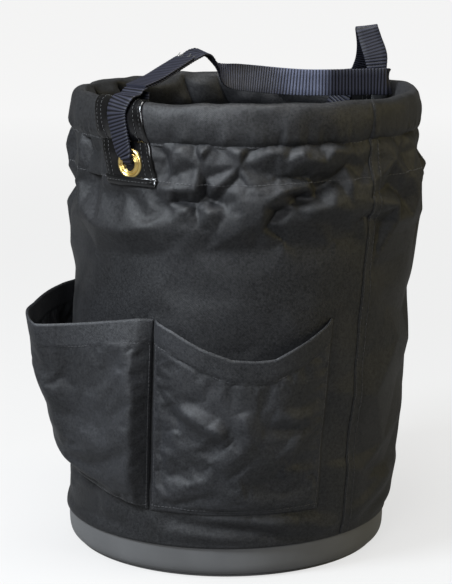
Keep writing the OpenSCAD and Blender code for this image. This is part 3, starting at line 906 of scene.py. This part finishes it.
# Folds on the front pocket: azimuth and height of both ends, half width, height
FRONT_FOLDS = [
    (-18.5, 166, -2, 140, 10, 4.0), (-18.5, 168, -17.5, 138, 7, -4.0), (-20.5, 172, -22, 120, 7, -2.5),
    (-18.5, 166, -7, 172, 9, -2.5), (-6, 152, -1, 132, 8, 3.5), (-2, 142, -8, 118, 9, -2.5),
    (3, 162, 6, 130, 11, 4.0), (6, 134, -4, 106, 11, 3.5), (-4, 104, -23, 74, 13, 4.0),
    (9, 146, 24, 142, 8, -3.5), (24, 143, 17, 116, 8, 3.0), (12, 156, 26, 150, 9, 2.5),
    (20, 108, 29, 110, 8, -2.5), (18, 100, 4, 90, 14, -3.0), (8, 84, 28, 84, 16, -2.0),
    (-24, 150, -23, 84, 5, -2.0),
]


def front_pocket_grid(columns, rows):
    """Heights and places of the front pocket's sheet, from left to right and from its foot up."""
    share = np.linspace(0, 1, columns)[:, None]
    rise = np.linspace(0, 1, rows)[None, :]
    az = FRONT_AZ[0] + share * (FRONT_AZ[1] - FRONT_AZ[0])
    lip = front_lip_z(share)
    z = POCKET_FOOT_Z + rise * (lip - POCKET_FOOT_Z)
    edge = np.sin(np.pi * share) ** 0.55
    belly = 13.5 * edge * (1 - (1 - rise) ** 3.0) * (0.9 + 0.1 * rise)
    sewn = smooth(share / 0.06) * smooth((1 - share) / 0.05) * smooth(rise / 0.08)
    out = 1.7 + belly + pocket_folds(az, z, lip, FRONT_FOLDS, 1.05, (0.7, 41, 42)) * sewn
    out = out - 0.9 * np.exp(-(((z - lip + MOUTH_HEM) / 1.6) ** 2))
    return z, pocket_place(az, z, out)


def pocket_folds(az, z, lip, folds, size, crumple):
    """Folds and small crumples of a pocket, in mm outwards. Its stiff mouth hem shows little of them."""
    crumple_size, seed, fine_seed = crumple
    out = np.zeros_like(z)
    for f in folds:
        out = out + size * fold(az, z, *f, soft=1.5)
    out = out + crumple_size * noise2(az, z, 8, 24, seed) + 0.35 * noise2(az, z, 3, 9, fine_seed)
    return out * (1 - 0.8 * smooth((z - (lip - MOUTH_HEM - 4)) / 6))


def settle_pocket(z, grid, lip):
    """Lets a pocket buckle between its stitching and its mouth, then doubles its grid."""
    pinned = np.zeros(z.shape, bool)
    pinned[:2], pinned[-2:], pinned[:, :2], pinned[:, -2:] = True, True, True, True
    pinned |= z > lip - MOUTH_HEM - 1
    grid = settle(grid, pinned, 22, -0.014, bend=2.5, gravity=0.1)
    both = refine(refine(np.concatenate([grid, z[..., None]], -1), 0), 1)
    return both[..., 3], both[..., :3]


def finish_pocket(name, z, grid, lip, sides):
    """A pocket's cloth, twice as thick in its turned mouth hem, and its stitching: under the mouth hem,
    along the foot and down the sewn sides."""
    thickness = POCKET_T + (MOUTH_HEM_T - POCKET_T) * smooth((z - lip + MOUTH_HEM + 1) / 1.6)
    finish_cloth(sheet(f"{name}_pocket_cloth", grid, thickness), POCKET_CANVAS_PAINTED_LIGHTER, f"{name}_pocket")
    normal = grid_normals(grid)
    outer = grid + normal * (POCKET_T / 2 + 0.1)
    rows = []
    pick = np.arange(len(z))
    for line, lift in ((lip - MOUTH_HEM, 0.2), (z[:, :1] + 4.0, 0.0)):
        index = np.abs(z - line).argmin(axis=1)
        away = normal[pick, index]
        rows.append(even(outer[pick, index] + away * lift, away, POCKET_PITCH))
    for column in sides:
        rows.append(even(outer[column], normal[column], POCKET_PITCH))
    finish_cloth(stitches(f"{name}_pocket_stitching", rows), THREAD)


def build_front_pocket():
    z, grid = front_pocket_grid(60, 56)
    z, grid = settle_pocket(z, grid, front_lip_z(np.linspace(0, 1, len(z)))[:, None])
    # the grid has more columns now
    lip = front_lip_z(np.linspace(0, 1, len(z)))[:, None]
    finish_pocket("front", z, grid, lip, (2, len(z) - 3))


# The side pocket's mouth: azimuth, gape from the wall and height, from the divider round to the rear
SIDE_MOUTH = [(-27.6, 0.4, 238), (-31.5, 7.0, 239.0), (-38, 12.5, 236), (-45, 20.0, 232.5), (-52, 32.0, 229),
              (-57.0, 49.5, 227.5), (-58.8, 53.0, 228.0), (-62.0, 53.0, 232), (-66.0, 47.5, 236),
              (-70.5, 36.0, 238), (-79.5, 22.0, 239), (-92, 8.0, 239), (-105, 0.4, 238)]
# The height of its bottom stitching, by azimuth
SIDE_FOOT = [(-105, 78), (-80, 79), (-64, 76), (-45, 69), (-27.6, 62)]
SIDE_FOLDS = [
    (-70, 205, -52, 150, 14, 2.5), (-62, 190, -50, 168, 9, -2.5), (-56, 168, -40, 162, 9, 2.0),
    (-66, 150, -44, 140, 12, -2.5), (-74, 118, -36, 76, 9, 3.5), (-70, 100, -40, 70, 8, -3.0),
    (-46, 210, -40, 150, 12, 1.5), (-50, 132, -38, 112, 12, 2.0),
]


def side_pocket_grid(columns, rows):
    """Heights, mouth heights and places of the side pocket's sheet, from the divider round to the rear."""
    mouth = catmull(SIDE_MOUTH, 12)
    s = arc_lengths(spot(mouth[:, 0], RIM_R + mouth[:, 1], mouth[:, 2]))
    k = np.linspace(0, s[-1], columns)
    az, gape, lip = (np.interp(k, s, mouth[:, c])[:, None] for c in range(3))
    foot = np.interp(az, [f[0] for f in SIDE_FOOT], [f[1] for f in SIDE_FOOT])
    rise = np.linspace(0, 1, rows)[None, :]
    z = foot + rise * (lip - foot)
    # the sheet springs straight out beside the divider, which leaves a deep pleat there
    beside = (SIDE_AZ[0] - az) * DEG_MM
    spring = np.clip(beside / 10, 0, 1) * np.exp(-np.maximum(beside - 10, 0) / 45)
    pleat = 19.0 * spring * np.sin(np.pi * rise ** 0.62) ** 0.9
    far = smooth((az - SIDE_AZ[1]) / 10)
    belly = 5.0 * np.sin(np.pi * rise) * far * smooth(beside / 30)
    sewn = smooth(beside / 6) * smooth((az - SIDE_AZ[1]) / 3) * smooth(rise / 0.08)
    out = 1.7 + gape * rise ** 0.92 + pleat + belly
    out = out + pocket_folds(az, z, lip, SIDE_FOLDS, 1, (0.8, 51, 52)) * sewn
    return z, lip, pocket_place(az, z, out)


def build_side_pocket():
    z, lip, grid = side_pocket_grid(76, 56)
    z, grid = settle_pocket(z, grid, lip)
    # its columns are turned round, so that the normals face outwards
    finish_pocket("side", z[::-1], grid[::-1], refine(lip, 0)[::-1], (1, len(z) - 2))


# ---------------------------------------------------------------- anchors

# Azimuth and width of the left patch on the crown and at its foot
PATCH_TOP_AZ, PATCH_FOOT_AZ = -46.0, -37.4
PATCH_TOP_W, PATCH_FOOT_W = 61.5, 53.0
# How far the patch's middle surface lies off the canvas's, and the rim's section points that it covers
PATCH_LIFT = 1.7
PATCH_SECTIONS = np.arange(5, int(len(HEM_SECTION) * 0.70))


def patch_grid(across, turn=0, lift=0.0):
    """Points of an anchor patch: up the wall, over the rim's crown and down inside.
    across runs from -1 to 1 over its width."""
    across = np.asarray(across)[:, None]
    heights = np.linspace(PATCH_FOOT_Z, SLEEVE_FOOT_Z - 5, 20)
    path_z = np.concatenate([heights, CROWN_Z - HEM_SECTION[PATCH_SECTIONS, 1]])
    share = np.clip((path_z - PATCH_FOOT_Z) / (CROWN_Z - PATCH_FOOT_Z), 0, 1)
    share[path_z.argmax():] = 1
    middle = PATCH_FOOT_AZ + (PATCH_TOP_AZ - PATCH_FOOT_AZ) * share
    width = PATCH_FOOT_W + (PATCH_TOP_W - PATCH_FOOT_W) * share
    az = middle[None, :] + across * (width / 2 / DEG_MM)[None, :]
    turned = az + 180 * turn
    low = turned[:, :len(heights)]
    wall = WALL.at(low, heights[None, :], PATCH_LIFT + lift)
    over = on_hem(turned[:, len(heights):], PATCH_SECTIONS[None, :], PATCH_LIFT + lift)
    # the last part of the way up stands off the wall, so that it meets the rim's face
    radial = outward(low)
    reach = smooth((heights - SLEEVE_FOOT_Z + 16) / 11)[None, :, None]
    gap = np.sum((over[:, :1] - wall) * radial, axis=-1, keepdims=True).clip(0)
    wall = wall + radial * gap * reach
    dent = 0.5 * noise2(az, path_z[None, :], 7, 18, 61) * (1 - np.abs(across) ** 4)
    points = np.concatenate([wall, over], axis=1)
    return points + outward(turned) * dent[..., None]


def half_turn(points):
    """The same shape at the other anchor: half a turn about the leaning axis."""
    x, y, z = np.moveaxis(points, -1, 0)
    return np.stack([2 * lean(z) - x, -y, z], -1)


def build_patch(side, turn):
    """The vinyl patch with doubled edges, the strip folded round its foot, and their stitching."""
    across = np.linspace(-1, 1, 41)
    body = patch_grid(across, turn)
    thickness = 1.1 + 0.9 * (np.abs(across) > 0.78)[:, None] + 0 * body[..., 0]
    patch = sheet(f"{side}_anchor_patch", body, thickness)
    finish_piece(patch, VINYL, body="rim", replaces=(f"{side}_patch",))
    strip = patch_grid(np.linspace(-1.04, 1.04, 31), turn, lift=1.5)[:, :5]
    finish_piece(sheet(f"{side}_patch_strip", strip, 1.3), VINYL, body="rim")
    n = grid_normals(body)
    rows = [even(body[k, 3:] + n[k, 3:] * 1.05, n[k, 3:], PATCH_PITCH) for k in (2, 6, 34, 38)]
    n = grid_normals(strip)
    rows.append(even(strip[:, 2] + n[:, 2] * 0.75, n[:, 2], PATCH_PITCH))
    finish_piece(stitches(f"{side}_patch_stitching", rows, length=2.4, radius=0.3), GLINT_THREAD,
                 body="rim")


# Flange of a grommet: radius and height over its seat, from the outer edge in to the barrel
FLANGE = [(13.4, 0.0), (13.5, 0.7), (13.1, 1.5), (12.3, 2.1), (11.4, 2.2), (10.7, 1.7), (10.3, 1.2),
          (9.8, 1.2), (9.3, 1.8), (8.5, 2.5), (7.7, 2.5), (7.1, 1.9), (6.8, 1.0), (6.8, -10.4),
          (7.2, -10.9), (8.6, -10.9), (9.6, -10.5), (9.7, -10.1), (8.2, -9.9), (8.1, 0.0)]
WASHER = [(8.4, 0.0), (12.6, 0.0), (13.0, 0.3), (13.0, 0.8), (12.6, 1.1), (8.9, 1.2), (8.4, 0.9)]
# Radii at which the flange and the washer lie on the wall
FLANGE_SEAT_R, WASHER_SEAT_R = 163.1, 153.4


def build_grommet(side):
    """A rolled brass grommet and the washer behind it."""
    low, high = box_mm(f"{side}_grommet")
    middle = (low + high) / 2
    centre = spot(0, 0, middle[2])
    axis = unit((middle - centre) * [1, 1, 0])
    for kind, profile, seat, turns in (("grommet", catmull(FLANGE, 3), FLANGE_SEAT_R, 72),
                                       ("washer", WASHER, WASHER_SEAT_R, 60)):
        ring = lathe(f"{side}_brass_{kind}", profile, centre + axis * seat, axis, turns, closed=True)
        finish_piece(ring, BRASS, body="rim", replaces=(f"{side}_{kind}",))


# ---------------------------------------------------------------- webbing

# Section of the webbing: share of the half width, share of the half thickness
WEB_SECTION = [(-1, 0), (-0.985, 0.7), (-0.93, 1), (-0.5, 0.96), (0, 1), (0.5, 0.96), (0.93, 1), (0.985, 0.7),
               (1, 0), (0.985, -0.7), (0.93, -1), (0.5, -0.96), (0, -1), (-0.5, -0.96), (-0.93, -1),
               (-0.985, -0.7)]
# Width and thickness of webbing that isn't crushed
FLAT = (WEB_W, WEB_T)


def webbing(name, stations, phase=0.0, lift=0.0):
    """Ribbed webbing through stations (place, direction across, width, thickness), and its places,
    normals and directions across. lift moves it off its middle surface, for a second ply."""
    fine = catmull([[*p, *unit(np.array(w)), width, thick] for p, w, width, thick in stations], 40)
    s = arc_lengths(fine[:, :3])
    k = np.arange(0, s[-1], 0.4)
    line = np.stack([np.interp(k, s, fine[:, c]) for c in range(8)], -1)
    p, t = line[:, :3], unit(np.gradient(line[:, :3], axis=0))
    w = unit(line[:, 3:6] - np.sum(line[:, 3:6] * t, axis=1, keepdims=True) * t)
    n = np.cross(t, w)
    rib = np.abs(np.sin(np.pi * (k + phase) / RIB)) ** 0.8
    # the upright loop's ribs are worn nearly flat
    worn = 0.75 * smooth((p[:, 2] - 448) / 10) * smooth((p[:, 0] - 90) / 10)
    rib = rib * (1 - worn) + 0.7 * worn
    half_w = line[:, 6:7] / 2 * (1 + 0.016 * rib[:, None])
    half_t = line[:, 7:8] / 2 * (0.55 + 0.62 * rib[:, None])
    section = np.array(WEB_SECTION)
    sides = len(section)
    ring = (p + n * lift)[:, None] + w[:, None] * half_w[:, None] * section[None, :, :1] \
        + n[:, None] * half_t[:, None] * section[None, :, 1:]
    quads = grid_quads(len(k), sides, wrap_j=True)[:, ::-1]
    cap = np.array([[m, m + 1, sides - 1 - m, (sides - m) % sides] for m in range(sides // 2 - 1)])
    quads = np.concatenate([quads, cap[:, ::-1], cap + (len(k) - 1) * sides])
    uv = np.stack(np.broadcast_arrays(section[None, :, 0] * WEB_W / 2, k[:, None] + phase), -1)
    return quad_mesh(name, ring, quads, uv.reshape(-1, 2), sharp=math.radians(75)), p, n, w


# Height of the handle's swing axis, middle of the rim's crown, and direction along the rim at the anchor
SWING_Z = 438.0
RIM_X = float(lean(CROWN_Z))
ACROSS = outward(ANCHOR_AZ + 90)
# Radii at which the webbing passes outside and inside the rim
OVER_R = RIM_R + 3.9
INNER_R = RIM_R - SLEEVE_W - 3.4


def loop_stations(turn):
    """The webbing from inside the bucket over the rim, down to the grommet, through it and up inside."""
    # the grommet sits beside the middle of the anchor
    shift = (-38.0 - ANCHOR_AZ) * DEG_MM
    # radius, height, way along the rim, and width and thickness where it isn't flat
    path = [(INNER_R - 1.0, SWING_Z + 2.2, 0), (INNER_R + 4, SWING_Z + 0.5, 0),
            (CROWN_MID_R - 3, CROWN_Z + 5.0, 0), (CROWN_MID_R + 5, CROWN_Z + 3.4, 0),
            (OVER_R - 1.6, CROWN_Z - 3, -1.4, 24, 1.7), (OVER_R + 0.4, CROWN_Z - 12, -1.6, 22, 1.9),
            (OVER_R + 0.8, CROWN_Z - 26, shift * 0.2, 20, 2.1),
            (OVER_R + 1.2, CROWN_Z - 38, shift * 0.55, 18.5, 2.3),
            (OVER_R + 1.4, GROMMET_Z + 9, shift * 0.85, 15.5, 2.8),
            (OVER_R + 0.2, GROMMET_Z + 3.5, shift, 11, 4.2), (FLANGE_SEAT_R - 3, GROMMET_Z, shift, 9, 5.0),
            (WASHER_SEAT_R - 1, GROMMET_Z + 0.5, shift, 9.5, 4.4),
            (INNER_R + 3, GROMMET_Z + 8, shift * 0.95, 14, 3.0),
            (INNER_R - 0.5, GROMMET_Z + 22, shift * 0.7, 22, 1.8), (INNER_R - 1, CROWN_Z - 18, shift * 0.2),
            (INNER_R - 2.4, CROWN_Z - 2, 0), (INNER_R - 3.6, SWING_Z - 0.6, 0)]
    stations = []
    for k, (r, z, t, *size) in enumerate(path):
        if turn:
            # the rear loop lies flatter on the rim
            z = min(z, CROWN_Z + (3.8 if k < 5 else 0.8))
        place = outward(ANCHOR_AZ) * r + ACROSS * t + spot(0, 0, z)
        place, across = (half_turn(place), -ACROSS) if turn else (place, ACROSS)
        stations.append((place, across, *(size or FLAT)))
    return stations


def span_stations():
    """The draped span: hump, twist, level run on edge, folded corner and upright loop."""
    start = outward(ANCHOR_AZ) * (INNER_R + 0.6) + np.array([RIM_X, 0, SWING_Z + 1.9])
    stop = half_turn(start) - np.array([0, 0, 4.6])
    x = RIM_X
    return [(start, ACROSS, *FLAT),
            ((x - 84, -91, 445.5), ACROSS, *FLAT), ((x - 70, -76, 453), ACROSS, 24.5, 1.8),
            ((x - 56, -61, 460.5), ACROSS, 23.5, 2.0), ((x - 46, -50, 466), (0.74, -0.66, -0.1), 22.5, 2.2),
            ((x - 39, -42, 465), (0.72, -0.64, -0.28), 22, 2.2),
            ((x - 32, -35, 457), (0.62, -0.52, -0.58), 21, 2.0),
            ((x - 27, -29, 449), (0.46, -0.36, -0.81), 21, 1.8),
            ((x - 20, -22, 443), (0.26, -0.2, -0.945), 22.5, 1.7),
            ((x - 8, -10, 440), (0.08, -0.06, -0.995), 24.5, 1.7), ((x + 10, 8, 436.5), (0, 0, -1), *FLAT),
            ((x + 32, 24, 433), (0, 0.05, -1), *FLAT), ((x + 58, 29.5, 431), (0, 0.08, -1), *FLAT),
            ((x + 92, 31.5, 431), (0, 0.08, -1), *FLAT), ((x + 119.5, 32.5, 431.5), (0, 0.06, -1), *FLAT),
            ((x + 131, 33.0, 431.3), (0.08, 0.02, -0.99), *FLAT),
            ((x + 135.6, 35.6, 431.6), (0.16, 0, -0.98), 24.5, 1.7),
            ((x + 132.5, 39.2, 433), (-0.2, 0, -0.98), 22.5, 1.7),
            ((x + 126, 41.5, 438), (-0.8, 0, -0.6), 17.5, 1.7),
            ((x + 123.5, 44, 455), (-0.985, 0, -0.15), 22, 1.7),
            ((x + 118.7, 48.5, 470), (-0.985, 0, -0.12), 21.5, 1.7),
            ((x + 115.7, 51, 479.6), (-0.99, 0, -0.12), 21, 1.7),
            ((x + 115.2, 54.0, 482.4), (-0.99, 0, -0.12), 21, 1.7),
            ((x + 115.0, 57.5, 480.8), (-0.99, 0.05, -0.12), 21, 1.7),
            ((x + 117.0, 69, 464), (-0.98, 0.15, -0.1), 20, 1.7),
            ((x + 117.0, 80, 450), (-0.97, 0.1, -0.05), 20.5, 1.7),
            ((x + 114.5, 88, 440), (-0.95, -0.1, 0.1), 21, 1.8),
            ((x + 108, 95.5, 434.4), (-0.88, -0.42, 0.1), 18, 2.2),
            (stop, (-0.79, -0.6, 0), 14, 3.0)]


def handle_bend(rim_end, handle_end):
    """The blend of a piece that leads from the rim to the handle."""
    return "rim", "handle", np.array(rim_end) * MM, np.array(handle_end) * MM


def build_lap(part):
    """The webbing's sewn-down end under the left of the handle, with its stitching and frayed threads."""
    bend = handle_bend(part[0][0], part[-1][0])
    lap, p, n, w = webbing("handle_webbing_lap", part[:4], phase=1.2, lift=-2.0)
    finish_piece(lap, WEBBING, blend=bend)
    rows = [even(p + w * side + n * 1.15, n, WEBBING_PITCH) for side in (-9.5, -3.2, 3.2, 9.5)]
    finish_piece(stitches("handle_lap_stitching", rows, length=2.7), GLINT_THREAD, blend=bend)
    rng = np.random.RandomState(17)
    threads = []
    for _ in range(16):
        root = p[-1] + w[-1] * rng.uniform(-11, 11) - n[-1] * rng.uniform(1.2, 2.4)
        way = unit((p[-1] - p[-8]) * 1.2 + w[-1] * rng.uniform(-2, 2) - n[-1] * rng.uniform(-1.0, 2.2))
        threads.append((np.array([root - way, root + way * rng.uniform(3, 6)]), np.array([n[-1], n[-1]])))
    finish_piece(stitches("handle_frayed_threads", threads, length=7.0, radius=0.3), GLINT_THREAD,
                 blend=bend)


def build_webbing():
    """The loops on the rim, and the handle: its rigid span rides the handle, and its two ends, between the
    rim and the span, are given blends, which only bake their transforms.
    """
    for side, turn in (("left", 0), ("right", 1)):
        loop = webbing(f"{side}_webbing_loop", loop_stations(turn))[0]
        finish_piece(loop, WEBBING, body="rim", replaces=(f"{side}_strap_loop",))
    stations = span_stations()
    left, span, right = stations[:5], stations[4:-5], stations[-6:]
    build_lap(left)
    finish_piece(webbing("handle_webbing_left", left)[0], WEBBING,
                 blend=handle_bend(left[0][0], left[-1][0]))
    finish_piece(webbing("handle_webbing_span", span)[0], WEBBING, body="handle",
                 replaces=("handle_strap",))
    finish_piece(webbing("handle_webbing_right", right)[0], WEBBING,
                 blend=handle_bend(right[-1][0], right[0][0]))


# ---------------------------------------------------------------- base

def build_base():
    """The moulded pan and the board in it. The hoop and its joiner keep their CAD meshes."""
    r = PAN_R
    profile = catmull([(r - 7.6, 0.0), (r - 7.0, 0.5), (r - 6.9, 2.6), (r - 5.6, 3.1), (r - 3.6, 3.9),
                       (r - 1.6, 6.4), (r - 0.5, 10.5), (r - 0.1, 16), (r, 22), (r, 33.2)], 4)
    inner = [(r - 0.6, 34.0), (r - 2.4, 35.0), (r - 2.5, 57.4), (r - 3.2, 58.0), (r - 5.0, 58.0),
             (r - 5.7, 57.2), (r - 5.8, 12.0), (r - 6.6, 8.4), (r - 9.0, 6.6), (r - 12, 6.2), (0, 6.2)]
    pan = lathe("moulded_pan", [(0.0, 0.0), *profile, *inner])
    finish_piece(pan, PAN_PLASTIC, body="base", replaces=("base_pan",))
    low, high = box_mm("floor_board")
    board_r = (high[0] - low[0]) / 2
    edge = [(0, low[2]), (board_r - 0.8, low[2]), (board_r, low[2] + 0.8), (board_r, high[2] - 0.8),
            (board_r - 0.8, high[2]), (0, high[2])]
    board = lathe("floor_board_disc", edge)
    finish_piece(board, BOARD_PLASTIC, body="base", replaces=("floor_board",))
    for node, material in (("rim_hoop", HOOP_PLASTIC), ("hoop_joiner", PAN_PLASTIC)):
        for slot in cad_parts[node].material_slots:
            slot.material = material


build_wall()
build_rim()
build_front_pocket()
build_side_pocket()
for anchor_side, anchor_turn in (("left", 0), ("right", 1)):
    build_patch(anchor_side, anchor_turn)
    build_grommet(anchor_side)
build_webbing()
build_base()

# ---------------------------------------------------------------- floor, light and camera

CAMERA_AT = (0.0, -1.8113, 0.615)
CAMERA_PITCH = math.radians(78.11)
CAMERA_LENS = 119.26
# The floor's own brightness to the camera, near and far, and the share of it that reflections see
FLOOR_LIFT = (0.69, 0.89)
FLOOR_GLOSS = 0.2
# What the camera sees behind the floor, and what lights the bucket from all round
BACKDROP = (0.92, 0.92, 0.92)
WORLD_COLOUR = (0.070, 0.068, 0.055)


def build_stage():
    """A wide pale floor."""
    mesh = bpy.data.meshes.new("floor")
    s = 40.0
    mesh.from_pydata([(-s, -s, 0), (s, -s, 0), (s, s, 0), (-s, s, 0)], [], [(0, 1, 2, 3)])
    n = Nodes("pale_floor")
    n.set(base_color=(0.15, 0.15, 0.15), roughness=0.9, specular_ior_level=0.05)
    # what the camera sees is lifted to a pale, even sweep without lighting the bucket from below
    distance = n.add("ShaderNodeVectorMath", {0: n.place()}, operation="LENGTH").outputs["Value"]
    n.set(emission_color=(1.0, 1.0, 1.0))
    paths = n.add("ShaderNodeLightPath")
    seen = n.math("ADD", paths.outputs["Is Camera Ray"],
                  n.math("MULTIPLY", paths.outputs["Is Glossy Ray"], FLOOR_GLOSS))
    n.set(emission_strength=n.math("MULTIPLY", seen, n.spread(distance, 0.4, 3.5, *FLOOR_LIFT)))
    mesh.materials.append(n.material)
    put_in_scene("floor", mesh)


def area_light(name, place, target, size, power, colour):
    """A rectangular lamp that faces a target: places and sizes in m, power in W."""
    data = bpy.data.lights.new(name, "AREA")
    data.shape = "RECTANGLE"
    data.size, data.size_y = size
    data.energy, data.color = power, colour
    lamp = put_in_scene(name, data)
    lamp.location = place
    lamp.rotation_euler = (Vector(target) - Vector(place)).to_track_quat("-Z", "Y").to_euler()


def build_light():
    """A cool lamp at the upper left, soft ones above and in front, and a weak warm one at the right."""
    world = bpy.data.worlds.new("studio")
    world.use_nodes = True
    tree = world.node_tree
    back = tree.nodes["Background"]
    paths = tree.nodes.new("ShaderNodeLightPath")
    mix = tree.nodes.new("ShaderNodeMix")
    mix.data_type = "RGBA"
    tree.links.new(paths.outputs["Is Camera Ray"], mix.inputs[0])
    mix.inputs[6].default_value = (*WORLD_COLOUR, 1)
    mix.inputs[7].default_value = (*BACKDROP, 1)
    tree.links.new(mix.outputs[2], back.inputs[0])
    bpy.context.scene.world = world
    area_light("key", (-1.35, -1.0, 1.7), (0, 0, 0.25), (0.6, 0.6), 67, (0.86, 0.93, 1.0))
    area_light("top", (-0.1, -0.3, 2.1), (0, 0, 0.3), (0.9, 0.9), 30, (1.0, 1.0, 1.0))
    area_light("front", (-0.75, -2.6, 1.5), (0, 0, 0.25), (1.0, 0.8), 36, (0.93, 0.96, 1.0))
    area_light("side", (1.9, -0.3, 0.9), (0, 0, 0.25), (0.5, 1.0), 9.5, (1.0, 0.86, 0.45))
    bpy.context.scene.view_settings.view_transform = "Standard"


def build_camera():
    data = bpy.data.cameras.new("camera")
    data.lens = CAMERA_LENS
    data.sensor_width = 36.0
    data.clip_end = 200
    camera = put_in_scene("camera", data)
    camera.location = CAMERA_AT
    camera.rotation_euler = (CAMERA_PITCH, 0, 0)
    bpy.context.scene.camera = camera


build_stage()
build_light()
build_camera()
